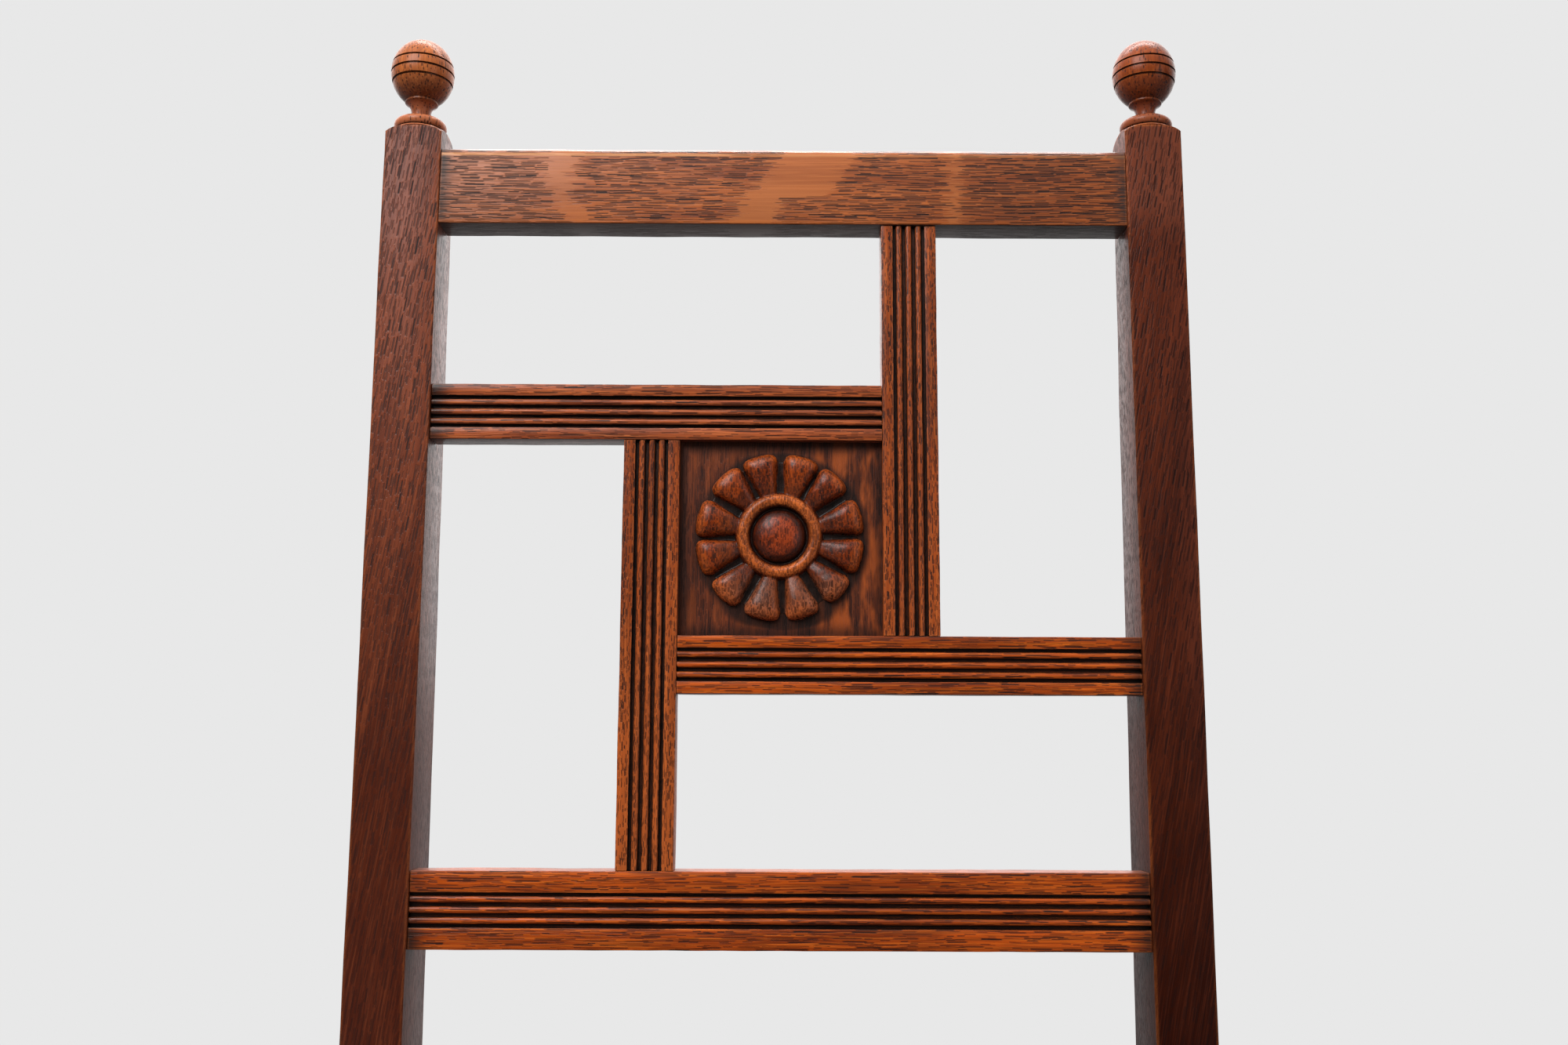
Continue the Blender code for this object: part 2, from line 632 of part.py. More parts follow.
def rosette(back):
    """Domed petals around a raised ring and a boss, laid on the panel's ground."""
    bm = bmesh.new()
    ground = PANEL_FRONT - GAP
    sector = 2 * math.pi / PETALS
    columns = []
    for petal in range(PETALS):
        for turn in PETAL_TURNS:
            angle = sector * (petal + 0.5 + turn / 2)
            column = []
            for radius, height in rosette_rows(turn):
                x = radius * math.sin(angle)
                z = LATTICE_MIDDLE + radius * math.cos(angle)
                column.append(bm.verts.new((x, ground - height, z)))
            columns.append(column)
    middle = bm.verts.new((0.0, ground - BOSS_HEIGHT, LATTICE_MIDDLE))
    for left, right in zip(columns, columns[1:] + columns[:1]):
        bm.faces.new((middle, left[0], right[0]))
        for row in range(len(left) - 1):
            bm.faces.new((left[row], left[row + 1], right[row + 1], right[row]))
    bm.faces.new([column[-1] for column in columns])
    piece("rosette", finished_mesh(bm, "rosette", smooth=True), back, CARVED_OAK)


# Seat rails, legs and stretchers

def side_line(y):
    """Half of the chair's width at this depth, outside legs and posts."""
    return BACK_WIDTH / 2 - (FRONT_WIDTH - BACK_WIDTH) / 2 * y / SEAT_DEPTH


def side_rail_inner(y):
    """Half of the distance between the side rails' inner faces at this depth."""
    return side_line(y) - RAIL_REVEAL - SEAT_RAIL_THICKNESS


def rail_tenon_heights():
    low = SEAT_RAIL_BOTTOM + RAIL_TENON_RISE
    return (low, low + RAIL_TENON_HEIGHT)


def front_leg(side, name, chair):
    """A square leg turned round between its blocks, on a bulb foot."""
    low_block = STRETCHER_LEVEL - STRETCHER_BLOCK / 2
    high_block = low_block + STRETCHER_BLOCK
    top_block = SEAT_RAIL_BOTTOM - LEG_BLOCK_DROP
    half = FOOT_HEIGHT / 2
    lean = math.asin(1 / FOOT_BULGE)
    profile = arc((0.0, half), (FOOT_RADIUS, half * FOOT_BULGE), -lean, lean, FOOT_STEPS)
    ankle = FOOT_HEIGHT + LEG_BEAD
    profile += [(ANKLE_RADIUS, ankle)]
    profile += bead(ankle + ANKLE_SPACE, SHANK_RADIUS, LEG_BEAD)
    profile += bead(low_block - BLOCK_SPACE, SHAFT_RADIUS - LEG_BEAD, LEG_BEAD)
    profile += pommel(low_block, 1, LEG_WIDTH)
    profile += pommel(high_block, -1, LEG_WIDTH)[::-1]
    profile += bead(high_block + BLOCK_SPACE, SHANK_RADIUS, LEG_BEAD)
    middle = (high_block + top_block) / 2
    for ring in BALL_RINGS:
        radius = (SHANK_RADIUS + SHAFT_RADIUS) / 2
        profile += cut_ring(middle + ring * SHAFT_RING_STEP, radius, SHAFT_RING_WIDTH, SHAFT_RING_DEPTH)
    profile += bead(top_block - BLOCK_SPACE, SHAFT_RADIUS, LEG_BEAD)
    profile += pommel(top_block, 1, LEG_WIDTH)
    profile.append((profile[-1][0], SEAT_RAIL_TOP))
    centre = (side * (FRONT_WIDTH / 2 - LEG_WIDTH / 2), LEG_WIDTH / 2 - SEAT_DEPTH)
    leg = piece(name, turned(name, profile, LEG_SIDES, centre), chair, OAK)
    stock = box(name, (side * LEG_INNER, side * FRONT_WIDTH / 2), (-SEAT_DEPTH, LEG_BACK),
                (-CUT_PAST, SEAT_RAIL_TOP + CUT_PAST))
    combine(leg, tool(f"stock {name}", stock, chair), "INTERSECT")
    return leg


def front_rail(legs, chair):
    face = RAIL_REVEAL - SEAT_DEPTH
    middle = (SEAT_RAIL_BOTTOM + SEAT_RAIL_TOP) / 2
    outline = reeded_outline(middle, SEAT_RAIL_HEIGHT, face, SEAT_RAIL_THICKNESS)
    length = LEG_INNER - GAP
    rail = piece("front_seat_rail", prism("front_seat_rail", outline, -length, length, "zyx"), chair, OAK)
    depths = span_about(face + SEAT_RAIL_THICKNESS / 2, RAIL_TENON_THICKNESS)
    for side, leg in legs.items():
        reach = (side * (LEG_INNER - TENON_ROOT), side * (LEG_INNER + RAIL_TENON_LENGTH))
        tenon(rail, leg, reach, depths, rail_tenon_heights(), chair)
    return rail


def back_rail(posts, chair):
    length = POST_INNER - GAP
    solid = box("back_seat_rail", (-length, length), (-BACK_RAIL_LEDGE, BACK_RAIL_DEPTH),
                (SEAT_RAIL_BOTTOM, SEAT_RAIL_TOP))
    rail = piece("back_seat_rail", solid, chair, OAK)
    depths = span_about(BACK_RAIL_DEPTH / 2, RAIL_TENON_THICKNESS)
    for side, post in posts.items():
        reach = (side * (POST_INNER - TENON_ROOT), side * (POST_INNER + BACK_RAIL_TENON_LENGTH))
        tenon(rail, post, reach, depths, rail_tenon_heights(), chair)
    return rail


def side_rail(side, name, leg, post, chair):
    front, rear = LEG_BACK + GAP, -GAP
    outline = []
    for y, inset in ((front, 0.0), (rear, 0.0), (rear, SEAT_RAIL_THICKNESS), (front, SEAT_RAIL_THICKNESS)):
        outline.append((side * (side_line(y) - RAIL_REVEAL - inset), y))
    rail = piece(name, prism(name, outline, SEAT_RAIL_BOTTOM, SEAT_RAIL_TOP, "xyz"), chair, OAK)
    outer = side_line(front) - RAIL_REVEAL - (SEAT_RAIL_THICKNESS - RAIL_TENON_THICKNESS) / 2
    widths = (side * outer, side * (outer - RAIL_TENON_THICKNESS))
    depths = (front + TENON_ROOT, LEG_BACK - RAIL_TENON_LENGTH)
    tenon(rail, leg, widths, depths, rail_tenon_heights(), chair)
    outer = BACK_WIDTH / 2 - POST_SIDE_WALL
    widths = (side * outer, side * (outer - RAIL_TENON_THICKNESS))
    depths = (rear - TENON_ROOT, RAIL_TENON_LENGTH)
    tenon(rail, post, widths, depths, rail_tenon_heights(), chair)
    return rail


def stretcher_line(y):
    """Half of the distance between the side stretchers' middles at this depth."""
    front = (LEG_WIDTH / 2 - SEAT_DEPTH, FRONT_WIDTH / 2 - LEG_WIDTH / 2)
    rear = (rear_leg_front(STRETCHER_LEVEL), POST_AXIS)
    share = (y - front[0]) / (rear[0] - front[0])
    return front[1] + (rear[1] - front[1]) * share


def side_stretcher(side, name, leg, post, chair):
    rings = []
    for level in (STRETCHER_LEVEL - STRETCHER_HEIGHT / 2, STRETCHER_LEVEL + STRETCHER_HEIGHT / 2):
        front, rear = LEG_BACK + GAP, rear_leg_front(level) - GAP
        ring = []
        for y, out in ((front, 0.5), (rear, 0.5), (rear, -0.5), (front, -0.5)):
            ring.append((side * (stretcher_line(y) + out * STRETCHER_THICKNESS), y, level))
        rings.append(ring)
    bar = piece(name, block(name, *rings), chair, OAK)
    reach = STRETCHER_HEIGHT / 2 - TENON_SHOULDER
    heights = (STRETCHER_LEVEL - reach, STRETCHER_LEVEL + reach)
    joints = ((leg, LEG_BACK, -1), (post, rear_leg_front(STRETCHER_LEVEL), 1))
    for receiver, face, way in joints:
        middle = stretcher_line(face)
        widths = [side * edge for edge in span_about(middle, STRETCHER_TENON_THICKNESS)]
        depths = (face - way * TENON_ROOT, face + way * STRETCHER_TENON_LENGTH)
        tenon(bar, receiver, widths, depths, heights, chair)
    return bar


def middle_stretcher(sides, chair):
    middle = (LEG_BACK + rear_leg_front(STRETCHER_LEVEL)) / 2
    half = STRETCHER_THICKNESS / 2
    outline = []
    for y, side in ((middle - half, -1), (middle - half, 1), (middle + half, 1), (middle + half, -1)):
        outline.append((side * (stretcher_line(y) - half - GAP), y))
    low = STRETCHER_LEVEL - MIDDLE_STRETCHER_HEIGHT / 2
    high = low + MIDDLE_STRETCHER_HEIGHT
    bar = piece("middle_stretcher", prism("middle_stretcher", outline, low, high, "xyz"), chair, OAK)
    face = stretcher_line(middle) - half
    heights = (low + TENON_SHOULDER, high - TENON_SHOULDER)
    depths = span_about(middle, STRETCHER_TENON_THICKNESS)
    for side, receiver in sides.items():
        reach = (side * (face - TENON_ROOT), side * (face + MIDDLE_TENON_LENGTH))
        tenon(bar, receiver, reach, depths, heights, chair)


def back_stretcher(posts, chair):
    length = POST_INNER - GAP
    middle = rear_leg_middle(BACK_STRETCHER_LEVEL)
    depths = span_about(middle, STRETCHER_THICKNESS)
    half = STRETCHER_HEIGHT / 2
    levels = (BACK_STRETCHER_LEVEL - half, BACK_STRETCHER_LEVEL + half)
    bar = piece("back_stretcher", box("back_stretcher", (-length, length), depths, levels), chair, OAK)
    heights = (levels[0] + TENON_SHOULDER, levels[1] - TENON_SHOULDER)
    depths = span_about(middle, STRETCHER_TENON_THICKNESS)
    for side, post in posts.items():
        reach = (side * (POST_INNER - TENON_ROOT), side * (POST_INNER + STRETCHER_TENON_LENGTH))
        tenon(bar, post, reach, depths, heights, chair)


def brace_screw(number, seat, direction, brace, rail, chair):
    """A slotted screw through a brace into a rail; direction points out of the wood."""
    name = f"brace_screw_{number}"
    length = SCREW_SEAT + SCREW_BITE
    shank = [(SCREW_TIP_RADIUS, -length), (SCREW_RADIUS, SCREW_TIP - length), (SCREW_RADIUS, GAP)]
    head = arc((0.0, GAP), (SCREW_HEAD_RADIUS, SCREW_HEAD_HEIGHT), 0.0, SCREW_HEAD_CAP, SCREW_HEAD_STEPS)
    screw = piece(name, turned(name, shank + head, SCREW_SIDES), chair, STEEL)
    bore, pocket = SCREW_RADIUS + GAP, SCREW_HEAD_RADIUS + SCREW_HEAD_SLACK
    hole = [(bore, -length - GAP), (bore, 0.0), (pocket, 0.0), (pocket, BRACE_FAR - BRACE_NEAR)]
    cutter = tool(f"hole {name}", turned(name, hole, SCREW_SIDES), chair)
    top = SCREW_HEAD_HEIGHT + GAP
    slot = tool(f"slot {name}", box(name, (-SCREW_HEAD_RADIUS * 2, SCREW_HEAD_RADIUS * 2),
                                    (-SCREW_SLOT_WIDTH / 2, SCREW_SLOT_WIDTH / 2),
                                    (top - SCREW_SLOT_DEPTH, top + CUT_PAST)), chair)
    turn = Vector((0.0, 0.0, 1.0)).rotation_difference(Vector(direction)).to_euler()
    for shape in (screw, cutter, slot):
        shape.location = seat
        shape.rotation_euler = turn
    combine(screw, slot, "DIFFERENCE")
    combine(brace, cutter, "DIFFERENCE")
    combine(rail, cutter, "DIFFERENCE")


def corner_braces(rails, chair):
    """A brace across each corner of the seat rails, with one screw into each rail."""
    faces = {"front": (RAIL_REVEAL + SEAT_RAIL_THICKNESS - SEAT_DEPTH, 1), "back": (-BACK_RAIL_LEDGE, -1)}
    low = SEAT_RAIL_BOTTOM + BRACE_RISE
    level = low + BRACE_HEIGHT / 2
    reach = (BRACE_NEAR + BRACE_FAR) / 2
    number = 0
    for end, (face, way) in faces.items():
        edge = face + way * GAP
        corner = side_rail_inner(edge) - GAP
        for side, word in ((-1, "left"), (1, "right")):
            outline = [(side * (corner - BRACE_FAR), edge), (side * (corner - BRACE_NEAR), edge)]
            for out in (BRACE_NEAR, BRACE_FAR):
                y = edge + way * out
                outline.append((side * (side_rail_inner(y) - GAP), y))
            name = f"corner_brace_{end}_{word}"
            brace = piece(name, prism(name, outline, low, low + BRACE_HEIGHT, "xyz"), chair, BEECH)
            number += 1
            seat = (side * (corner - reach), face + way * SCREW_SEAT, level)
            brace_screw(number, seat, (0.0, way, 0.0), brace, rails[end], chair)
            number += 1
            y = edge + way * reach
            seat = (side * (side_rail_inner(y) - SCREW_SEAT), y, level)
            brace_screw(number, seat, (-side, 0.0, 0.0), brace, rails[side], chair)


# Drop-in seat

def seat_outline(inset):
    """Corners of the recess, or of a shape that lies inside it by inset."""
    front = RAIL_REVEAL + RECESS_LIP - SEAT_DEPTH + inset
    rear = -inset
    corners = []
    for y, side in ((front, -1), (front, 1), (rear, 1), (rear, -1)):
        corners.append((side * seat_half_width(y, inset), y))
    return corners


def seat_half_width(y, inset):
    return side_line(y) - RAIL_REVEAL - RECESS_LIP - inset


def seat_recess(chair):
    shape = prism("seat recess", seat_outline(0.0), RECESS_BOTTOM, SEAT_RAIL_TOP + CUT_PAST, "xyz")
    return tool("seat recess", shape, chair)


def seat_frame(seat):
    """Four loose rails of the drop-in seat, the sides tenoned into front and back."""
    corners = seat_outline(FRAME_INSET)
    front, rear = corners[0][1], corners[2][1]
    members = {}
    for word, y0, y1 in (("front", front, front + FRAME_WIDTH), ("back", rear - FRAME_WIDTH, rear)):
        outline = []
        for y, side in ((y0, -1), (y0, 1), (y1, 1), (y1, -1)):
            outline.append((side * seat_half_width(y, FRAME_INSET), y))
        name = f"seat_frame_{word}"
        members[word] = piece(name, prism(name, outline, FRAME_BOTTOM, FRAME_TOP, "xyz"), seat, BEECH)
    near, far = front + FRAME_WIDTH, rear - FRAME_WIDTH
    middle = (FRAME_BOTTOM + FRAME_TOP) / 2
    heights = span_about(middle, FRAME_TENON_THICKNESS)
    for side, word in ((-1, "left"), (1, "right")):
        outline = []
        for y, inset in ((near, 0.0), (far, 0.0), (far, FRAME_WIDTH), (near, FRAME_WIDTH)):
            y += GAP if y == near else -GAP
            outline.append((side * (seat_half_width(y, FRAME_INSET) - inset), y))
        name = f"seat_frame_{word}"
        member = piece(name, prism(name, outline, FRAME_BOTTOM, FRAME_TOP, "xyz"), seat, BEECH)
        for receiver, y, way in ((members["front"], near, -1), (members["back"], far, 1)):
            centre = seat_half_width(y, FRAME_INSET) - FRAME_WIDTH / 2
            widths = [side * edge for edge in span_about(centre, FRAME_TENON_WIDTH)]
            depths = (y - way * TENON_ROOT, y + way * FRAME_TENON_LENGTH)
            tenon(member, receiver, widths, depths, heights, seat)


def strap_outline(low, high, crossings):
    """Side view of a strap that weaves over and under; crossings holds (place, over or under)."""
    flat = WEB_WIDTH / 2 + WEB_CROSS_SLACK
    path = [(low, WEB_LEVEL - WEB_WAVE)]
    for place, way in crossings:
        level = WEB_LEVEL + way * WEB_WAVE
        path += [(place - flat, level), (place + flat, level)]
    path.append((high, WEB_LEVEL - WEB_WAVE))
    half = WEB_THICKNESS / 2
    return [(a, z - half) for a, z in path] + [(a, z + half) for a, z in path[::-1]]


def webbing(seat):
    """Three straps each way, woven through each other over the frame."""
    corners = seat_outline(FRAME_INSET)
    front, rear = corners[0][1], corners[2][1]
    middle = (front + rear) / 2
    ends = (front + FRAME_WIDTH - WEB_LAP, rear - FRAME_WIDTH + WEB_LAP)
    half = WEB_WIDTH / 2
    for strap in STRAPS:
        crossings = []
        for other in STRAPS:
            crossings.append((other * WEB_PITCH, 1 if (strap + other) % 2 == 0 else -1))
        name = f"webbing_long_{strap + 2}"
        outline = strap_outline(*ends, [(middle + place, way) for place, way in crossings])
        edges = (strap * WEB_PITCH - half, strap * WEB_PITCH + half)
        piece(name, prism(name, outline, *edges, "yzx"), seat, WEBBING)
        y = middle + strap * WEB_PITCH
        reach = seat_half_width(y + half, FRAME_INSET) - FRAME_WIDTH + WEB_LAP
        outline = strap_outline(-reach, reach, [(place, -way) for place, way in crossings])
        name = f"webbing_cross_{strap + 2}"
        piece(name, prism(name, outline, y - half, y + half, "xzy"), seat, WEBBING)


def crowned(name, inset, bottom, edge, crown):
    """A solid on the seat's outline, flat below and crowned above."""
    bm = bmesh.new()
    front_left, front_right, rear_right, rear_left = (Vector(corner) for corner in seat_outline(inset))
    spread = [math.sin(math.pi / 2 * (2 * cell / CROWN_CELLS - 1)) for cell in range(CROWN_CELLS + 1)]
    rows = []
    for v in spread:
        row = []
        for u in spread:
            near = front_left.lerp(front_right, (u + 1) / 2)
            far = rear_left.lerp(rear_right, (u + 1) / 2)
            x, y = near.lerp(far, (v + 1) / 2)
            dome = ((1 - abs(u) ** CROWN_POWER) * (1 - abs(v) ** CROWN_POWER)) ** CROWN_FULLNESS
            row.append(bm.verts.new((x, y, edge + crown * dome)))
        rows.append(row)
    for near, far in zip(rows, rows[1:]):
        for cell in range(CROWN_CELLS):
            bm.faces.new((near[cell], near[cell + 1], far[cell + 1], far[cell]))
    rim = rows[0][:-1] + [row[-1] for row in rows[:-1]] + rows[-1][:0:-1] + [row[0] for row in rows[:0:-1]]
    floor = [bm.verts.new((vert.co.x, vert.co.y, bottom)) for vert in rim]
    bm.faces.new(floor)
    for index, vert in enumerate(rim):
        following = (index + 1) % len(rim)
        bm.faces.new((vert, rim[following], floor[following], floor[index]))
    return finished_mesh(bm, name, smooth=True)


def upholstery(seat):
    """Hessian over the webbing, stuffing on it, and the leather cover around all of the seat."""
    sheet = prism("hessian_sheet", seat_outline(FRAME_INSET + HESSIAN_MARGIN), HESSIAN_BOTTOM,
                  HESSIAN_BOTTOM + HESSIAN_THICKNESS, "xyz")
    piece("hessian_sheet", sheet, seat, HESSIAN)
    pad = crowned("seat_stuffing", FRAME_INSET, STUFFING_BOTTOM, STUFFING_BOTTOM + STUFFING_EDGE,
                  STUFFING_CROWN)
    piece("seat_stuffing", pad, seat, HORSEHAIR)
    skin = crowned("leather_cover", SEAT_CLEARANCE, FRAME_BOTTOM, COVER_EDGE, STUFFING_CROWN)
    cover = piece("leather_cover", skin, seat, LEATHER)
    hollow = crowned("cover hollow", SEAT_CLEARANCE + LEATHER_THICKNESS, FRAME_BOTTOM - CUT_PAST,
                     COVER_EDGE - LEATHER_THICKNESS, STUFFING_CROWN)
    combine(cover, tool("cover hollow", hollow, seat), "DIFFERENCE")


# The whole chair

def build_back(posts, back):
    bottom_outline = reeded_outline(BOTTOM_RAIL_RISE + BOTTOM_RAIL_HEIGHT / 2, BOTTOM_RAIL_HEIGHT,
                                    BOTTOM_RAIL_SETBACK, BOTTOM_RAIL_THICKNESS)
    crest = rail_between_posts("crest_rail", crest_outline(), posts, CREST_BOTTOM,
                               CREST_TOP - CREST_ROUND - TENON_SHOULDER, LATTICE_DEPTH, back)
    bottom = rail_between_posts("bottom_back_rail", bottom_outline, posts, BOTTOM_RAIL_RISE,
                                BOTTOM_RAIL_TOP - TENON_SHOULDER, LATTICE_DEPTH, back)
    carved_panel(lattice(posts, crest, bottom, back), back)
    rosette(back)


def build_seat_frame(posts, chair):
    words = {-1: "left", 1: "right"}
    legs = {side: front_leg(side, f"front_leg_{word}", chair) for side, word in words.items()}
    rails = {"front": front_rail(legs, chair), "back": back_rail(posts, chair)}
    stretchers = {}
    for side, word in words.items():
        rails[side] = side_rail(side, f"side_seat_rail_{word}", legs[side], posts[side], chair)
        stretchers[side] = side_stretcher(side, f"side_stretcher_{word}", legs[side], posts[side], chair)
    middle_stretcher(stretchers, chair)
    back_stretcher(posts, chair)
    corner_braces(rails, chair)
    recess = seat_recess(chair)
    for part in list(rails.values()) + list(legs.values()):
        combine(part, recess, "DIFFERENCE")


def main():
    clear_scene()
    chair = empty("chair", None, (0.0, CHAIR_SHIFT, 0.0))
    back = empty("raked back", chair, (0.0, 0.0, BEND_HEIGHT), -RAKE)
    seat = empty("drop-in seat", chair, (0.0, 0.0, 0.0))
    posts = {}
    for side, word in ((-1, "left"), (1, "right")):
        posts[side] = back_post(side, f"back_post_{word}", chair, back)
        finial(side, f"finial_{word}", posts[side], back)
    build_back(posts, back)
    build_seat_frame(posts, chair)
    seat_frame(seat)
    webbing(seat)
    upholstery(seat)


main()
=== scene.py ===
import math

import bmesh
import bpy
from mathutils import Matrix, Vector


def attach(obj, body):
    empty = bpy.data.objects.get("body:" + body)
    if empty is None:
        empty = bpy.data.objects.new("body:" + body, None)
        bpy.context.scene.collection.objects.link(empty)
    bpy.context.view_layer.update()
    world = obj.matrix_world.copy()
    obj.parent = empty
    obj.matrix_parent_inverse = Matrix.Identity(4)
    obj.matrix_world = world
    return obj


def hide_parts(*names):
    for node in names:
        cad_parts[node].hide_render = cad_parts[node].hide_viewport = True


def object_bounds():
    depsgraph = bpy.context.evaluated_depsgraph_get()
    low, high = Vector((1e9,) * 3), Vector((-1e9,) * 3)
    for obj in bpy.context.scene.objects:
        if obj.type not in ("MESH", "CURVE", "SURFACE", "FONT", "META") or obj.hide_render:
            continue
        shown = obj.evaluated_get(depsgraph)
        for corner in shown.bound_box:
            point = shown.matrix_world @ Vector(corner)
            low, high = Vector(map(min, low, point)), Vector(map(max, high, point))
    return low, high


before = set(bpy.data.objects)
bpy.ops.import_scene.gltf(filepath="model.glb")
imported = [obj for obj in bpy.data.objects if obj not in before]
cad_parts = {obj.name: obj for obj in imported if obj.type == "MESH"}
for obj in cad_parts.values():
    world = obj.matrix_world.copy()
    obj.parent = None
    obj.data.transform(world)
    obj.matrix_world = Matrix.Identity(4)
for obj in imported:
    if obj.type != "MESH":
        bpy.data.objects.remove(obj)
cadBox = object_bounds()

# Sizes of the chair, in metres, as the frame has them
plan = {"seatDepth": 0.400, "frontWidth": 0.480, "backWidth": 0.450, "railTop": 0.440, "railHeight": 0.060}
back = {"rake": math.radians(7.5), "bend": 0.462, "postTop": {-1: 0.551, 1: 0.5533}, "middle": 0.31675}
gap = 0.0003                                    # air between two pieces that touch
postFront = cadBox[0].y + plan["seatDepth"]     # front of the posts at the seat
leanTurn = Matrix.Rotation(-back["rake"], 3, "X")
leanPlace = Vector((0, postFront, back["bend"]))
axisX, axisY, axisZ = Vector((1, 0, 0)), Vector((0, 1, 0)), Vector((0, 0, 1))
bothSides = ((-1, "left"), (1, "right"))


# Working with meshes

def clean():                                    # object mode, nothing selected
    if bpy.context.mode != "OBJECT":
        bpy.ops.object.mode_set(mode="OBJECT")
    bpy.ops.object.select_all(action="DESELECT")


def pickUp(obj):
    clean()
    obj.select_set(True)
    bpy.context.view_layer.objects.active = obj


def newObject(name, operator, **settings):
    clean()
    operator(**settings)
    obj = bpy.context.object
    obj.name = name
    return obj


def editAll():                                  # edit mode, everything selected
    bpy.ops.object.mode_set(mode="EDIT")
    bpy.ops.mesh.select_all(action="SELECT")


def extrude(move):                              # what is selected
    bpy.ops.mesh.extrude_region_move(TRANSFORM_OT_translate={"value": move})


def closeSolid():                               # all faces turned outward, back to object mode
    bpy.ops.mesh.select_all(action="SELECT")
    bpy.ops.mesh.normals_make_consistent(inside=False)
    clean()


def newBlock(name, low, high):                  # a cube between two corners
    middle = [(a + b) / 2 for a, b in zip(low, high)]
    obj = newObject(name, bpy.ops.mesh.primitive_cube_add, size=1, location=middle)
    obj.scale = [b - a for a, b in zip(low, high)]
    bpy.ops.object.transform_apply(location=True, rotation=True, scale=True)
    return obj


def newPrism(name, outline, low, high):         # a plan outline carried up
    obj = newObject(name, bpy.ops.mesh.primitive_circle_add, vertices=len(outline), fill_type="NGON")
    for vert, (x, y) in zip(obj.data.vertices, outline):
        vert.co = (x, y, low)
    editAll()
    extrude((0, 0, high - low))
    closeSolid()
    return obj


def selectParts(obj, kind, test):               # edit mode, the edges or faces that pass
    pickUp(obj)
    bpy.ops.object.mode_set(mode="EDIT")
    bpy.ops.mesh.select_mode(type=kind)
    bpy.ops.mesh.select_all(action="DESELECT")
    mesh = bmesh.from_edit_mesh(obj.data)
    for part in mesh.edges if kind == "EDGE" else mesh.faces:
        part.select_set(bool(test(part)))
    bmesh.update_edit_mesh(obj.data)


def selectEdges(obj, test):                     # tests the two ends
    selectParts(obj, "EDGE", lambda edge: test(edge.verts[0].co, edge.verts[1].co))


def bevelEdges(obj, test, width, steps):
    selectEdges(obj, test)
    bpy.ops.mesh.bevel(offset=width, segments=steps, profile=0.5, affect="EDGES")
    clean()


def cutAcross(obj, axis, levels):               # new edge loops on planes square to the axis
    pickUp(obj)
    bpy.ops.object.mode_set(mode="EDIT")
    for level in levels:
        bpy.ops.mesh.select_all(action="SELECT")
        bpy.ops.mesh.bisect(plane_co=axis * level, plane_no=axis)
    clean()


def cutAlong(obj, axis, pitch):                 # loops at an even pitch, so that the faces can sway
    low = min(vert.co.dot(axis) for vert in obj.data.vertices)
    high = max(vert.co.dot(axis) for vert in obj.data.vertices)
    count = max(1, round((high - low) / pitch))
    selectEdges(obj, lambda a, b: abs((b - a).normalized().dot(axis)) > 0.99 and (b - a).length > pitch * 1.5)
    bpy.ops.mesh.subdivide(number_cuts=count - 1)
    clean()


def applyModifier(obj, kind, **settings):
    pickUp(obj)
    modifier = obj.modifiers.new(kind.lower(), kind)
    for key, value in settings.items():
        setattr(modifier, key, value)
    bpy.ops.object.modifier_apply(modifier=modifier.name)


def carve(obj, cutter, operation="DIFFERENCE"):
    applyModifier(obj, "BOOLEAN", operation=operation, object=cutter, solver="EXACT")
    bpy.data.objects.remove(cutter, do_unlink=True)


def uneven(obj, size, depth):                   # hand work: faces and edges sway a little
    cloud = bpy.data.textures.new(obj.name + "Sway", "CLOUDS")
    cloud.noise_scale = size
    cloud.noise_depth = 1
    applyModifier(obj, "DISPLACE", texture=cloud, strength=depth, mid_level=0.5, texture_coords="LOCAL")


def spinProfile(name, points, steps, centre=(0, 0)):    # a lathe shape from (radius, height) points
    obj = newObject(name, bpy.ops.mesh.primitive_plane_add, size=0.001)
    bpy.ops.object.mode_set(mode="EDIT")
    bpy.ops.mesh.select_mode(type="VERT")
    bpy.ops.mesh.select_all(action="SELECT")
    bpy.ops.mesh.merge(type="CENTER")
    bpy.ops.transform.translate(value=(points[0][0], 0, points[0][1]))
    for (r0, z0), (r1, z1) in zip(points, points[1:]):
        extrude((r1 - r0, 0, z1 - z0))
    bpy.ops.mesh.select_all(action="SELECT")
    bpy.ops.mesh.spin(steps=steps, angle=2 * math.pi, center=(0, 0, 0), axis=(0, 0, 1))
    bpy.ops.mesh.select_all(action="SELECT")
    bpy.ops.mesh.remove_doubles(threshold=0.00001)
    closeSolid()
    place(obj, (centre[0], centre[1], 0))
    return obj


def arc(middle, radii, start, stop, steps):     # points on an oval, for a profile
    turns = [math.radians(start + (stop - start) * step / steps) for step in range(steps + 1)]
    return [(middle[0] + radii[0] * math.cos(turn), middle[1] + radii[1] * math.sin(turn)) for turn in turns]


def place(obj, move, turn=(0, 0, 0)):           # the place goes into the mesh
    pickUp(obj)
    obj.rotation_euler = turn
    obj.location = move
    bpy.ops.object.transform_apply(location=True, rotation=True, scale=True)


def lean(obj):                                  # from the flat back to the raked one
    place(obj, leanPlace, (-back["rake"], 0, 0))


def toSeat(obj):                                # from the posts' front to the frame's origin
    place(obj, (0, postFront, 0))


def finishPiece(obj, finish, *nodes, slot="oak", body="chair_frame", angle=35):
    pickUp(obj)
    bpy.ops.object.shade_smooth_by_angle(angle=math.radians(angle))
    obj.data.materials.clear()
    obj.data.materials.append(finish)
    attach(obj, body)
    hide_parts(*nodes)


# Shader maths

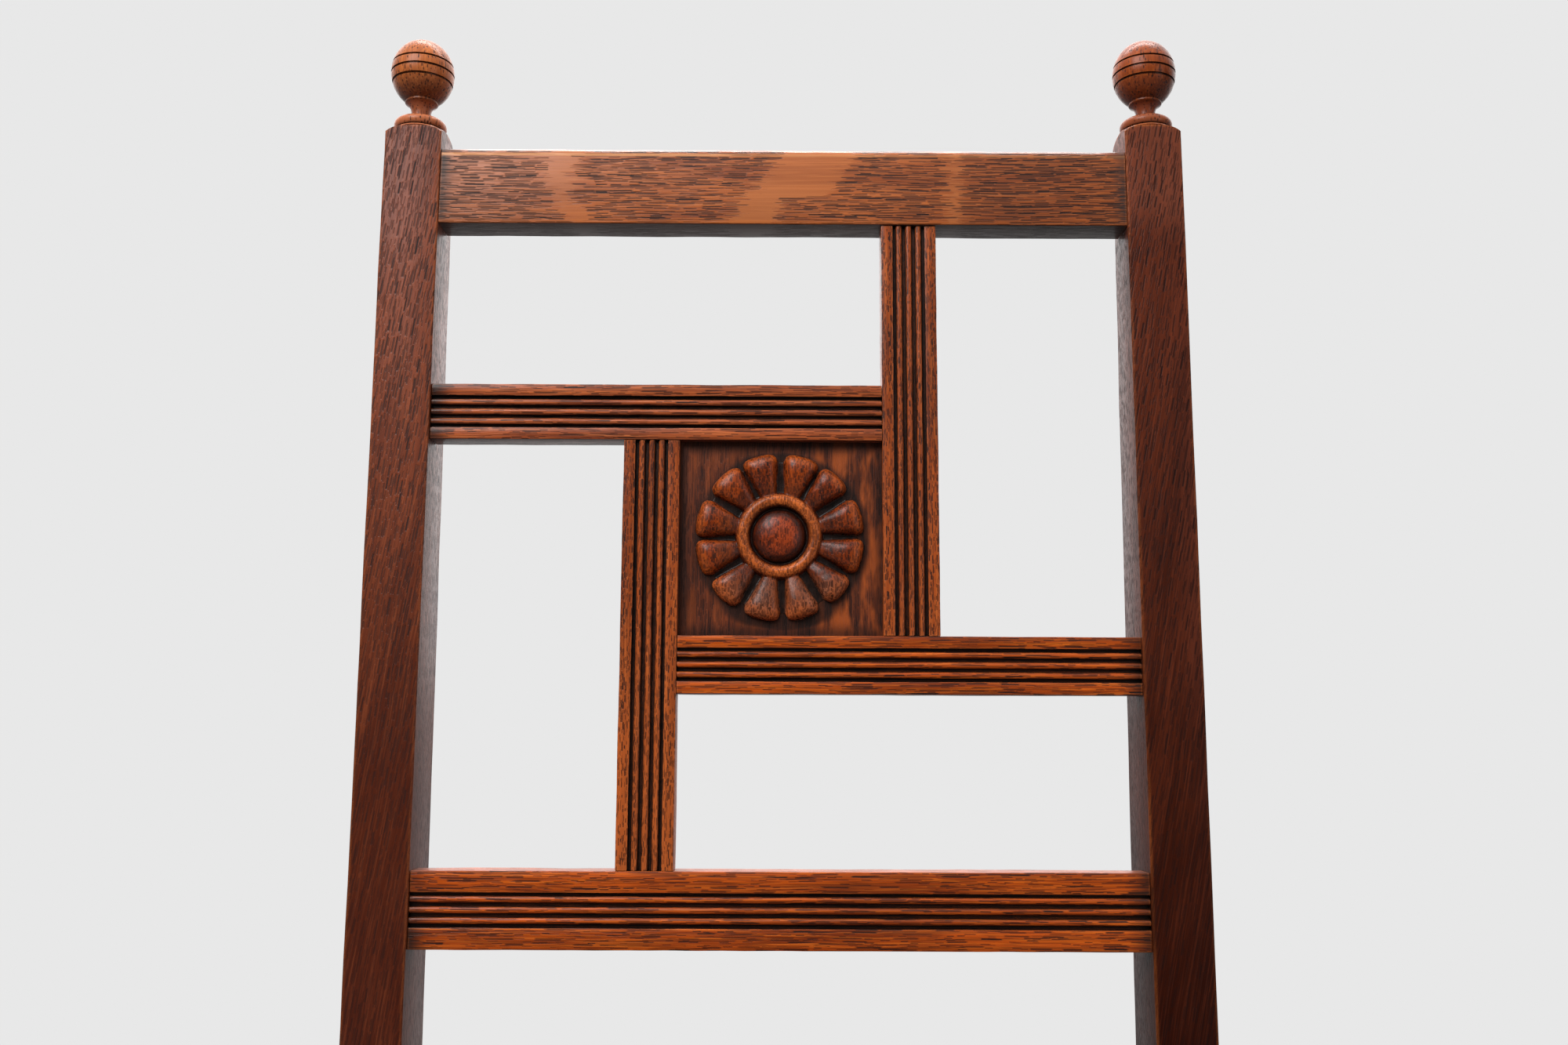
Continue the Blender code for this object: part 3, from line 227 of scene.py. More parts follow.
class Wire:                                     # a socket that can be used in sums
    def __init__(self, tree, socket=None):
        self.tree = tree
        self.socket = socket

    def add(self, kind, settings=None, inputs=None, output=0):
        node = self.tree.nodes.new("ShaderNode" + kind)
        for key, value in (settings or {}).items():
            setattr(node, key, value)
        for key, value in (inputs or {}).items():
            self.feed(node.inputs[key], value)
        if isinstance(output, tuple):
            return [Wire(self.tree, node.outputs[key]) for key in output]
        return Wire(self.tree, node.outputs[output])

    def feed(self, socket, value):              # links what varies, sets what doesn't
        if isinstance(value, Wire):
            self.tree.links.new(value.socket, socket)
        else:
            socket.default_value = value

    def maths(self, operation, first, second=0.0):
        return self.add("Math", {"operation": operation}, {0: first, 1: second})

    def __add__(self, other):
        return self.maths("ADD", self, other)

    def __radd__(self, other):
        return self.maths("ADD", other, self)

    def __sub__(self, other):
        return self.maths("SUBTRACT", self, other)

    def __rsub__(self, other):
        return self.maths("SUBTRACT", other, self)

    def __mul__(self, other):
        return self.maths("MULTIPLY", self, other)

    def __rmul__(self, other):
        return self.maths("MULTIPLY", other, self)

    def __truediv__(self, other):
        return self.maths("DIVIDE", self, other)

    def __pow__(self, other):
        return self.maths("POWER", self, other)

    def __abs__(self):
        return self.maths("ABSOLUTE", self)

    def fract(self):
        return self.maths("FRACT", self)

    def sine(self):
        return self.maths("SINE", self)

    def least(self, other):
        return self.maths("MINIMUM", self, other)

    def most(self, other):
        return self.maths("MAXIMUM", self, other)

    def step(self, low, high):                  # soft step, falling where low is the larger
        return self.add("MapRange", {"interpolation_type": "SMOOTHSTEP"},
                        {"Value": self, "From Min": low, "From Max": high})

    def parts(self):
        return self.add("SeparateXYZ", inputs={0: self}, output=(0, 1, 2))

    def times(self, factors):                   # a vector, axis by axis
        return self.add("VectorMath", {"operation": "MULTIPLY"}, {0: self, 1: factors})

    def plus(self, other):
        return self.add("VectorMath", {"operation": "ADD"}, {0: self, 1: other})

    def minus(self, other):
        return self.add("VectorMath", {"operation": "SUBTRACT"}, {0: self, 1: other})

    def mix(self, first, second, amount):       # colours
        return self.add("Mix", {"data_type": "RGBA"}, {0: amount, 6: first, 7: second}, 2)

    def blend(self, other, amount):
        return self.mix(self, other, amount)

    def noise(self, factors, detail=2.0, rough=0.5):
        return self.add("TexNoise", {}, {"Vector": self.times(factors), "Scale": 1.0, "Detail": detail,
                                         "Roughness": rough})

    def spread(self, detail):                   # noise in three directions, around zero
        colours = self.add("TexNoise", {}, {"Vector": self, "Scale": 1.0, "Detail": detail}, "Color")
        return colours.minus((0.5, 0.5, 0.5))


def newFinish(name):
    material = bpy.data.materials.new(name)
    material.use_nodes = True
    tree = material.node_tree
    return material, Wire(tree), tree.nodes["Principled BSDF"]


def setShader(wire, shader, values, bump=None):     # bump: strength, depth in metres, height
    for key, value in values.items():
        wire.feed(shader.inputs[key], value)
    if bump:
        strength, depth, height = bump
        wire.feed(shader.inputs["Normal"],
                  wire.add("Bump", {}, {"Strength": strength, "Distance": depth, "Height": height}))


def colour(red, green, blue):                   # as seen on a screen, 0 to 255
    values = [part / 255 for part in (red, green, blue)]
    return (*[v / 12.92 if v <= 0.04045 else ((v + 0.055) / 1.055) ** 2.4 for v in values], 1.0)


def cavities(wire, distance, inside=False):     # 1 in hollows, or with inside at proud edges
    return 1 - wire.add("AmbientOcclusion", {"samples": 6, "inside": inside, "only_local": True},
                        {"Distance": distance}, "AO")


def grainSpace(wire, along, face, centre):      # x along the grain, y across the face, z out of it
    turn = Matrix((along, face.cross(along), face))
    spot = wire.add("TexCoord", output="Object")
    return wire.add("Mapping", {}, {"Vector": spot, "Rotation": tuple(turn.to_euler()),
                                    "Location": tuple(-(turn @ centre))})


# Stained and waxed oak

oakLook = {
    "pale": colour(172, 96, 48), "mid": colour(140, 68, 32), "deep": colour(96, 44, 24),
    "pore": colour(30, 13, 10), "rub": colour(190, 104, 50), "dirtAndShade": colour(12, 7, 5),
    "stainAndShade": colour(58, 28, 22), "fleck": colour(178, 104, 58),
    "sway": 0.0022, "ringPitch": 0.0046, "pith": (0.30, -0.10), "slant": 0.01,
    "pores": ((0.010, 0.0013, 0.00075, 1.0),    # length, spacing, width, darkness
              (0.004, 0.0009, 0.0005, 0.8)),
    "close": False,                             # every row of pores comes to the face
    "lines": 0.0,                               # long thin lines of open pores
    "flecks": (),                               # ray flecks: middle u and v, half u and v, tilt
    "fades": (),                                # along the grain: start, stop, colour, share, pores kept
    "patches": 0.35,                            # clouds of stain
    "ends": None,                               # dark ends of a bar: reach, half length
    "rounds": (),                               # rings on a carving: radius, half width, colour, share, lift
    "highlightAndRubLines": (),                              # lines along a bar, painted highlights and rubbed arrises: level, half width, colour, share
    "under": 0.5,                               # the underside painted darker: painted shade
    "flank": 0.0, "crown": 0.0, "belly": 0.0,   # smooth wax on the sides, along the top and below
    "polish": 0.0,                              # wax all over
    "wear": 0.50, "wearReach": 0.0016,          # rubbed edges
    "grimeAndShade": 0.95, "hollow": (0.0045, 0.18, 0.58),      # old polish and painted shade in hollows: reach, least, full
    "sunk": None,                               # the levels between which the ground of a carving is painted dark as shade
    "ground": None,                             # painted shadow and dust at the panel's edges and round the petals
    "rough": 0.30, "gloss": 0.20,
}


def fleckMask(u, v, flecks):                    # 1 inside a ray fleck, where no pores show
    whole = None
    for spotU, spotV, halfU, halfV, tilt in flecks:
        across = (v - spotV) / halfV
        along = (u - spotU - (v - spotV) * tilt) / halfU
        spot = (along ** 4 + across ** 4).step(1.2, 0.9)
        whole = spot if whole is None else whole.most(spot)
    return whole


def growthRings(grain, look):                   # the early wood, around a pith that lies outside the bar
    u, v, w = grain.parts()
    pithV, pithW = look["pith"]
    radius = ((v - pithV) ** 2 + (w - pithW) ** 2) ** 0.5 + u * look["slant"]
    phase = (radius / look["ringPitch"]).fract()
    return phase.step(0.0, 0.25) * phase.step(0.80, 0.40)


def cutPores(grain, early, look):               # cut tubes, each dark or faint as a whole
    pore = None
    for length, spacing, wide, dark in look["pores"]:
        depth = wide if look["close"] else spacing
        size = (length, spacing, depth)
        cells = grain.times(tuple(1 / side for side in size))
        spots, luck = grain.add("TexVoronoi", {"feature": "F1"},
                                {"Vector": cells, "Scale": 1.0, "Randomness": 0.9}, ("Position", "Color"))
        du, dv, dw = cells.minus(spots).parts()
        tube = ((dv * spacing) ** 2 + (dw * depth) ** 2) ** 0.5
        chance, other = luck.parts()[:2]
        dash = tube.step(wide * 0.64, wide * 0.36) * abs(du).step(0.34 + 0.25 * other, 0.24 + 0.2 * other)
        dash = dash * (0.65 + 0.35 * chance) * (0.80 + 0.20 * early) * dark
        if look["flecks"]:
            cellU, cellV = spots.times(size).parts()[:2]
            dash = dash * (1 - fleckMask(cellU, cellV, look["flecks"]))
        pore = dash if pore is None else pore.most(dash)
    return pore


def wearMarksAndHighlights(base, straight, pore, tone, cloudy, look):    # what hands and polish left in places, and painted highlight lines
    spotU, spotV = straight.parts()[:2]
    if look["ends"]:                            # darker where the bar goes into its neighbours
        reach, length = look["ends"]
        dark = 0.45 + 0.5 * cloudy.step(0.35, 0.6)
        base = base.blend(look["stainAndShade"], abs(spotU).step(length - reach, length) * dark)
    for radius, half, shade, share, lift in look["rounds"]:
        away = abs(((spotU - lift) ** 2 + spotV * spotV) ** 0.5 - radius)
        markShare = share * (0.6 + 0.4 * tone.step(0.35, 0.6)) * (1 - 0.8 * pore)
        base = base.blend(shade, away.step(half, half * 0.5) * markShare)
    for level, half, shade, share in look["highlightAndRubLines"]:       # fainter towards the right end
        markShare = share * (0.5 + 0.5 * cloudy.step(0.40, 0.55)) * (0.35 + 0.65 * spotU.step(0.14, 0.0))
        base = base.blend(shade, abs(spotV - level).step(half, half * 0.4) * markShare)
    return base


def waxCoat(sideways, upward, below, cloudy, look):     # sockets of the shader's coat
    if look["flank"] or look["crown"] or look["belly"]:
        wax = (abs(sideways).step(0.75, 0.95) * look["flank"]).most(upward.step(0.35, 0.85) * look["crown"])
        wax = wax.most(below * look["belly"]).most(look["polish"])
        return {"Coat Weight": wax * (0.7 + 0.3 * cloudy.step(0.4, 0.6)), "Coat Roughness": 0.22}
    if look["polish"]:
        return {"Coat Weight": look["polish"], "Coat Roughness": 0.28}
    return {}


def shadeAndPolishInHollows(straight, cloudy, look):          # 1 where the colour turns dark: dust and old polish in hollows together with painted shade, the sunk ground of a carving, the panel's edges
    reach, least, full = look["hollow"]
    hollow = cavities(straight, reach).step(least, full)
    spotU, spotV, spotW = straight.parts()
    # the deep ground of a carving: painted shade
    if look["sunk"]:
        low, high = look["sunk"]
        hollow = hollow.most(spotW.step(high, low))
    if look["ground"]:                          # painted shadow and dust along the panel's edges and on the ground next to the petals
        edge = look["ground"]
        seen = spotW.step(edge["front"] - 0.003, edge["front"] - 0.002)
        away = (spotU * spotU + spotV * spotV) ** 0.5 + (cloudy - 0.5) * edge["ragged"]
        away = away - spotU.step(*edge["lowLevels"]) * edge["lowMore"]
        petals = away.step(*edge["petals"]) * 0.85
        sides = abs(spotU).step(*edge["high"]).most(abs(spotV).step(*edge["wide"]))
        hollow = hollow.most(seen * petals.most(sides * 0.75))
    return hollow


def oakFinish(name, along, face, centre, changes=None):
    look = {**oakLook, **(changes or {})}
    material, wire, shader = newFinish(name)
    straight = grainSpace(wire, along, face, centre)
    sway = 2 * look["sway"]
    grain = straight.plus(straight.times((9, 26, 26)).spread(2.0).times((0.0, sway, sway)))
    u, v = grain.parts()[:2]
    early = growthRings(grain, look)
    pore = cutPores(grain, early, look)
    ragged = (grain.noise((70, 900, 900)) - 0.5) * 0.03     # how far a fleck's ends run along the fibres
    if look["lines"]:
        line = grain.noise((34, 1250, 1250), 1.0, 0.4).step(0.47, 0.59) * look["lines"]
        if look["flecks"]:
            line = line * (1 - fleckMask(u + ragged * 1.6, v, look["flecks"]))
        pore = pore.most(line)

    fibre = grain.noise((18, 1100, 1100))
    tone = grain.noise((6, 60, 60), 3.0)
    cloudy = grain.noise((11, 20, 20), 3.0)
    streak = grain.noise((22, 480, 480)).step(0.54, 0.70)
    base = wire.mix(look["deep"], look["mid"], tone.step(0.30, 0.62))
    base = base.blend(look["pale"], fibre.step(0.44, 0.72) * 0.65)
    base = base.blend(look["deep"], (early * 0.30).most(streak * 0.55))
    base = base.blend(look["stainAndShade"], cloudy.step(0.50, 0.74) * look["patches"])
    if look["flecks"]:
        shine = 0.25 + 0.3 * cloudy.step(0.35, 0.6)
        base = base.blend(look["fleck"], fleckMask(u + ragged, v, look["flecks"]) * shine)
    for start, stop, shade, share, kept in look["fades"]:
        there = u.step(start, stop)
        full = 0.55 + 0.25 * cloudy.step(0.3, 0.6) + 0.2 * fibre.step(0.7, 0.4)
        base = base.blend(shade, there * share * full)
        pore = pore * (1 - there * (1 - kept))
    base = base.blend(look["pore"], pore)
    base = wearMarksAndHighlights(base, straight, pore, tone, cloudy, look)

    sideways, upward = wire.add("TexCoord", output="Normal").parts()[::2]
    below = upward.step(-0.6, -0.9)
    # downward faces darkened with the stain colour: painted shade
    base = base.blend(look["stainAndShade"], below * look["under"])
    edges = cavities(wire, look["wearReach"], True).step(0.12, 0.45) * (0.25 + 0.75 * tone.step(0.35, 0.60))
    base = base.blend(look["rub"], edges * look["wear"] * (1 - 0.75 * pore))
    if look["ground"]:                          # reddish streaks, more of them to the right
        rub = grain.noise((26, 110, 110), 3.0, 0.6).step(0.42, 0.64)
        base = base.blend(look["rub"], rub * (0.30 + 0.65 * straight.parts()[1].step(0.02, -0.05)))
    hollow = shadeAndPolishInHollows(straight, cloudy, look)
    # dark in hollows: old polish and dust, and painted shade
    base = base.blend(look["dirtAndShade"], hollow * look["grimeAndShade"])
    rough = look["rough"] + pore * 0.25 + (cloudy - 0.5) * 0.12 + hollow * 0.25
    setShader(wire, shader, {"Base Color": base, "Roughness": rough, "Specular IOR Level": look["gloss"],
                             **waxCoat(sideways, upward, below, cloudy, look)},
              (0.5, 0.0003, 0.3 * fibre - pore))
    return material


# Back posts with the rear legs

postSizes = {"width": 0.032, "topDepth": 0.030, "seatDepth": 0.047, "footDepth": 0.034,
             "kick": math.radians(6), "knee": 0.358, "bendRadius": 0.150, "bendSteps": 6, "cuts": 30,
             "arris": 0.0010, "sway": (0.05, 0.0006), "shoulderRise": 0.0115, "shoulderSeat": 0.0142,
             "shoulderReach": 0.024, "shoulderSteps": 12, "clear": 0.012, "spin": 96}


def bentPath(points):                           # round the inner corners of a path
    path = [Vector(points[0])]
    for before, corner, after in zip(points, points[1:], points[2:]):
        corner = Vector(corner)
        into = (corner - Vector(before)).normalized()
        out = (Vector(after) - corner).normalized()
        reach = postSizes["bendRadius"] * math.tan(into.angle(out) / 2)
        for step in range(postSizes["bendSteps"] + 1):
            share = step / postSizes["bendSteps"]
            path.append((corner - into * reach * (1 - share)).lerp(corner + out * reach * share, share))
    return path + [Vector(points[-1])]


def onRake(depth, height):                      # (y, z) on the raked back, from the posts' front
    spot = leanTurn @ Vector((0, depth, height))
    return (spot.y, back["bend"] + spot.z)


def backPost(name, side, node, finish):
    size = postSizes
    foot = size["knee"] * math.tan(size["kick"])
    front = bentPath([(foot, 0), (0, size["knee"]), (0, back["bend"]), onRake(0, back["postTop"][side])])
    rear = bentPath([(foot + size["footDepth"], 0), (size["seatDepth"], size["knee"]),
                     (size["seatDepth"], back["bend"]), onRake(size["topDepth"], back["postTop"][side])])
    outer = plan["backWidth"] / 2
    xs = sorted((side * outer, side * (outer - size["width"])))
    post = newObject(name, bpy.ops.mesh.primitive_plane_add, size=1)        # the foot
    bpy.ops.object.mode_set(mode="EDIT")
    for index, (near, far) in enumerate(zip(front, rear)):
        if index:
            extrude((0, 0, 0))
        mesh = bmesh.from_edit_mesh(post.data)
        corners = [vert for vert in mesh.verts if vert.select]
        corners.sort(key=lambda vert: (vert.co.y, vert.co.x))
        for vert, x, (y, z) in zip(corners, (xs[0], xs[1]) * 2, (near, near, far, far)):
            vert.co = (x, y, z)
        bmesh.update_edit_mesh(post.data)
    closeSolid()
    bevelEdges(post, lambda a, b: a.x == b.x and abs(a.z - b.z) > abs(a.y - b.y), size["arris"], 3)
    selectEdges(post, lambda a, b: abs(a.z - b.z) > 0.02)
    bpy.ops.mesh.subdivide(number_cuts=size["cuts"])
    clean()
    uneven(post, *size["sway"])
    toSeat(post)
    seat, reach, rise = size["shoulderSeat"], size["shoulderReach"], size["shoulderRise"]
    top, clear, steps = back["postTop"][side], size["clear"], size["shoulderSteps"]
    profile = [(seat, top + clear), (seat, top)]            # the rounded shoulder under the finial
    profile += [(seat + (reach - seat) * math.sin(turn), top - rise * (1 - math.cos(turn)))
                for turn in [math.pi / 2 * step / steps for step in range(1, steps + 1)]]
    profile += [(reach + clear, profile[-1][1]), (reach + clear, top + clear), (seat, top + clear)]
    axis = (side * (outer - size["width"] / 2), size["topDepth"] / 2)
    cutter = spinProfile(name + "Shoulder", profile, size["spin"], axis)
    lean(cutter)
    carve(post, cutter)
    finishPiece(post, finish, node)


# Turned ball finials

finialSizes = {"ball": 0.01785, "tall": 0.0199, "rise": {-1: 0.0372, 1: 0.0366}, "seat": 0.0002,
               "ringTurns": (-18.4, -2.0, 14.5), "ringWidth": 0.0012, "ringDepth": 0.0009,
               "collar": 0.0091, "collarFoot": 0.0185, "lip": 0.0004, "neck": 0.0055, "neckFoot": 0.0098,
               "fillet": 0.0098, "filletHeight": 0.0010, "filletEdge": 0.0003, "neckSpread": 0.0008,
               "base": 0.0148, "baseHeight": 0.0078, "baseStep": 0.0011, "sway": (0.02, 0.0002),
               "spin": 80, "neckSteps": 12, "neckPower": 4}


def finial(name, side, node, finish):
    size = finialSizes
    post = back["postTop"][side]
    base = post + size["seat"]
    ball = post + size["rise"][side]
    step, lip, ring = size["baseStep"], size["lip"], size["base"]
    half = (size["baseHeight"] - step) / 2
    profile = [(0, base), (ring - lip, base), (ring, base + lip), (ring - lip, base + step)]
    profile += arc((ring - half, base + step + half), (half, half), -70, 90, 14)
    fillet, top = size["fillet"], base + size["baseHeight"]
    high = top + size["filletHeight"]
    profile += [(fillet, top), (fillet, top + size["filletHeight"] * 0.7),
                (fillet - size["filletEdge"], high)]
    profile += [(size["neck"] + size["neckSpread"], high)]
    waist, foot = post + size["neckFoot"], ball - size["collarFoot"]
    spread = size["collar"] - size["neck"]      # the neck opens upward like a trumpet
    shares = [number / size["neckSteps"] for number in range(size["neckSteps"] + 1)]
    profile += [(size["neck"] + spread * share ** size["neckPower"], waist + (foot - waist) * share)
                for share in shares]
    profile += [(size["collar"] + lip * 0.5, foot + lip * 0.6),
                (size["collar"] + lip * 0.4, foot + lip * 1.6)]
    halfRing = math.degrees(size["ringWidth"] / 2 / size["ball"])
    start = -math.degrees(math.acos(size["collar"] / size["ball"]))
    oval = (size["ball"], size["tall"])         # the balls are a little taller than they are wide
    deep = [radius - size["ringDepth"] for radius in oval]
    for turn in size["ringTurns"]:
        profile += arc((0, ball), oval, start, turn - halfRing, 10)
        profile += arc((0, ball), deep, turn - halfRing * 0.5, turn + halfRing * 0.5, 1)
        start = turn + halfRing
    profile += arc((0, ball), oval, start, 90, 14)
    axis = (side * (plan["backWidth"] - postSizes["width"]) / 2, postSizes["topDepth"] / 2)
    obj = spinProfile(name, profile, size["spin"], axis)
    uneven(obj, *size["sway"])
    lean(obj)
    finishPiece(obj, finish, node, angle=50)


# Rails and bars of the back

crestSizes = {"low": 0.4935, "high": 0.5385, "front": 0.001, "thick": 0.022, "round": 0.0050, "arris": 0.0008,
              "pitch": 0.005, "sway": (0.03, 0.0006)}
barSizes = {"front": 0.0025, "thick": 0.0165, "railWidth": 0.031, "stileWidth": 0.0305,
            "panelSide": {-1: 0.0559, 1: 0.055}, "panelHeight": 0.107, "arris": 0.0005,
            "pitch": 0.006, "sway": (0.025, 0.0005)}
bottomSizes = {"low": 0.100, "high": 0.140, "front": 0.002, "thick": 0.018}
reedSizes = {"count": 3, "width": 0.0038, "quirk": 0.0016, "depth": 0.0027, "round": 0.0018}
postInner = plan["backWidth"] / 2 - postSizes["width"]


def crestRail(name, node, finish):
    size = crestSizes
    rail = newBlock(name, (gap - postInner, size["front"], size["low"]),
                    (postInner - gap, size["front"] + size["thick"], size["high"]))
    bevelEdges(rail, lambda a, b: a.y == b.y and min(a.z, b.z) > size["high"] - 0.001, size["round"], 9)
    bevelEdges(rail, lambda a, b: a.y == b.y and max(a.z, b.z) < size["low"] + 0.0001, size["arris"], 3)
    cutAlong(rail, axisX, size["pitch"])
    uneven(rail, *size["sway"])
    lean(rail)
    finishPiece(rail, finish, node)


def reededBar(name, low, high, along, finish, node, leaning=True):  # the front seat rail stands upright
    size, same = reedSizes, 0.00001
    bar = newBlock(name, low, high)
    across = axisZ if along == axisX else axisX
    middle = (Vector(low) + Vector(high)).dot(across) / 2
    front = low[1]
    pitch = size["width"] + size["quirk"]
    first = middle - (size["count"] * pitch + size["quirk"]) / 2
    starts = [first + number * pitch for number in range(size["count"] + 1)]
    grooves = [(start, start + size["quirk"]) for start in starts]
    sides = [edge for groove in grooves for edge in groove]

    def onLine(spot, lines):
        return any(abs(spot.dot(across) - line) < 2 * same for line in lines)

    cutAcross(bar, across, sides)
    selectParts(bar, "FACE", lambda face: face.normal.y < -0.9 and any(
        near < face.calc_center_median().dot(across) < far for near, far in grooves))
    extrude((0, size["depth"], 0))
    clean()
    bevelEdges(bar, lambda a, b: max(a.y, b.y) < front + same and abs((b - a).dot(across)) < same
               and onLine(a, sides[1:-1]), size["round"], 6)
    rims = [sides[0], sides[-1], Vector(low).dot(across), Vector(high).dot(across)]
    bevelEdges(bar, lambda a, b: abs((b - a).dot(along)) > 0.02 and abs(a.y - b.y) < same and onLine(a, rims)
               and (a.y < front + same or a.y > high[1] - same), barSizes["arris"], 2)
    cutAlong(bar, along, barSizes["pitch"])
    uneven(bar, *barSizes["sway"])
    if leaning:
        lean(bar)
    else:
        cutRecess(bar)
        toSeat(bar)
    finishPiece(bar, finish, node)


def lattice(railFinishes, stileFinish):
    size = barSizes
    middle, halfHeight = back["middle"], size["panelHeight"] / 2
    depths = (size["front"], size["front"] + size["thick"])
    for way, word in ((1, "upper"), (-1, "lower")):         # a pinwheel: each bar ends on the next
        zs = sorted((middle + way * halfHeight, middle + way * (halfHeight + size["railWidth"])))
        halfWidth = size["panelSide"][way]
        xs = sorted((-way * (postInner - gap), way * (halfWidth - gap)))
        reededBar(word + "ReededRail", (xs[0], depths[0], zs[0]), (xs[1], depths[1], zs[1]), axisX,
                  railFinishes[way], word + "_reeded_rail")
        far = crestSizes["low"] if way > 0 else bottomSizes["high"]
        zs = sorted((middle - way * (halfHeight - gap), far - way * gap))
        xs = sorted((way * halfWidth, way * (halfWidth + size["stileWidth"])))
        reededBar(word + "ReededStile", (xs[0], depths[0], zs[0]), (xs[1], depths[1], zs[1]), axisZ,
                  stileFinish, word + "_reeded_stile")


def bottomRail(finish):
    size = bottomSizes
    low = (gap - postInner, size["front"], size["low"])
    high = (postInner - gap, size["front"] + size["thick"], size["high"])
    reededBar("bottomReededRail", low, high, axisX, finish, "bottom_back_rail")


# Carved panel

panelSizes = {"front": 0.0085, "thick": 0.0065, "groove": 0.0047, "pitch": 0.004, "sway": (0.012, 0.00035)}
rosetteSizes = {"side": -0.0011, "rise": 0.0006,            # from the panel's middle
                "radius": 0.0466, "root": 0.0195, "rootHalf": 0.0031, "endHalf": 0.0120, "bow": 0.0016,
                "corner": 0.0016, "narrow": 0.13, "height": 0.0067, "rootHeight": 0.0015,
                "ringMiddle": 0.0198, "ringHalf": 0.0040, "ringHeight": 0.0050, "boss": 0.0146,
                "bossHeight": 0.0064, "middle": (-0.0003, 0.0004), "plate": 0.042, "plateTop": 0.0002,
                "sink": 0.0012, "voxel": 0.00040, "kept": 0.5, "sway": (0.006, 0.0004),
                "mesh": (34, 36), "ringSpin": 160, "bossSpin": 120, "plateSpin": 96,
                # along a petal, from 0 at its root to 1: full height, start of its end, start of its corners
                "fullFrom": 0.80, "endFrom": 0.62, "cornerFrom": 0.82, "endPower": 3.0, "flankPower": 2.8}
# turn in degrees and share of the width of each petal: cut by hand, no two alike
petalCuts = ((0.0, 0.97), (-1.6, 1.0), (1.2, 1.05), (1.0, 1.0), (1.4, 0.93), (2.0, 0.98),
             (2.1, 0.92), (2.6, 0.87), (0.7, 0.97), (0.3, 1.0), (1.6, 0.92), (-1.2, 0.96))


def panelGround(finish):
    size = panelSizes
    halfWidth = barSizes["panelSide"][1] + size["groove"]
    halfHeight = barSizes["panelHeight"] / 2 + size["groove"]
    panel = newBlock("panelGround", (-halfWidth, size["front"], back["middle"] - halfHeight),
                     (halfWidth, size["front"] + size["thick"], back["middle"] + halfHeight))
    for axis in (axisX, axisZ):
        cutAlong(panel, axis, size["pitch"])
    uneven(panel, *size["sway"])
    lean(panel)
    finishPiece(panel, finish, "carved_panel", slot="ground_oak")


def petal(name, wide):                          # a swelling wedge, lying flat, pointing along +Y
    size = rosetteSizes
    columns, rows = size["mesh"]
    obj = newObject(name, bpy.ops.mesh.primitive_grid_add, x_subdivisions=columns, y_subdivisions=rows,
                    size=2)
    for vert in obj.data.vertices:
        across, along = vert.co.x, (vert.co.y + 1) / 2
        reach = size["radius"] - size["bow"] * abs(across) ** 2 - size["corner"] * abs(across) ** 8
        radius = size["root"] + (reach - size["root"]) * along
        share = (radius - size["root"]) / (size["radius"] - size["root"])
        half = size["rootHalf"] + (size["endHalf"] - size["rootHalf"]) * share
        corner = max(0, along - size["cornerFrom"]) / (1 - size["cornerFrom"])
        half *= 1 - size["narrow"] * corner ** 3            # rounded corners at the outer end
        rise = math.sin(min(1, along / size["fullFrom"]) * math.pi / 2)
        swell = size["rootHeight"] + (size["height"] - size["rootHeight"]) * rise
        end = max(0, along - size["endFrom"]) / (1 - size["endFrom"])
        flank = max(0, 1 - abs(across) ** size["flankPower"])
        full = (flank * max(0, 1 - end ** size["endPower"])) ** 0.5
        vert.co = (across * half * wide, radius, swell * full)
    editAll()
    extrude((0, 0, -size["sink"]))
    clean()
    return obj


def rosette(finish):
    size = rosetteSizes
    shapes = []
    for number, (turn, wide) in enumerate(petalCuts):
        shape = petal(f"petal{number}", wide)
        place(shape, (0, 0, 0), (0, 0, 2 * math.pi * (number + 0.5) / len(petalCuts) + math.radians(turn)))
        shapes.append(shape)
    middle, half, low = size["ringMiddle"], size["ringHalf"], -size["sink"]
    profile = [(middle - half, low)] + arc((middle, 0), (half, size["ringHeight"]), 180, 0, 20)
    profile += [(middle + half, low), (middle - half, low)]
    ring = spinProfile("ring", profile, size["ringSpin"], size["middle"])
    profile = [(0, low), (size["boss"], low)] + arc((0, 0), (size["boss"], size["bossHeight"]), 0, 90, 18)
    boss = spinProfile("boss", profile, size["bossSpin"], size["middle"])
    profile = [(0, low), (size["plate"], low), (size["plate"], size["plateTop"]), (0, size["plateTop"])]
    plate = spinProfile("plate", profile, size["plateSpin"])
    clean()
    for shape in shapes + [ring, boss, plate]:
        shape.select_set(True)
    bpy.context.view_layer.objects.active = plate
    bpy.ops.object.join()
    carving = bpy.context.object
    carving.name = "rosetteCarving"
    applyModifier(carving, "REMESH", mode="VOXEL", voxel_size=size["voxel"])
    applyModifier(carving, "SMOOTH", factor=0.5, iterations=3)
    uneven(carving, *size["sway"])
    applyModifier(carving, "DECIMATE", ratio=size["kept"])  # fewer faces where it is flat
    place(carving, (size["side"], panelSizes["front"], back["middle"] + size["rise"]), (math.pi / 2, 0, 0))
    lean(carving)
    finishPiece(carving, finish, "rosette", slot="carved_oak", angle=180)


# Seat rails, front legs and stretchers

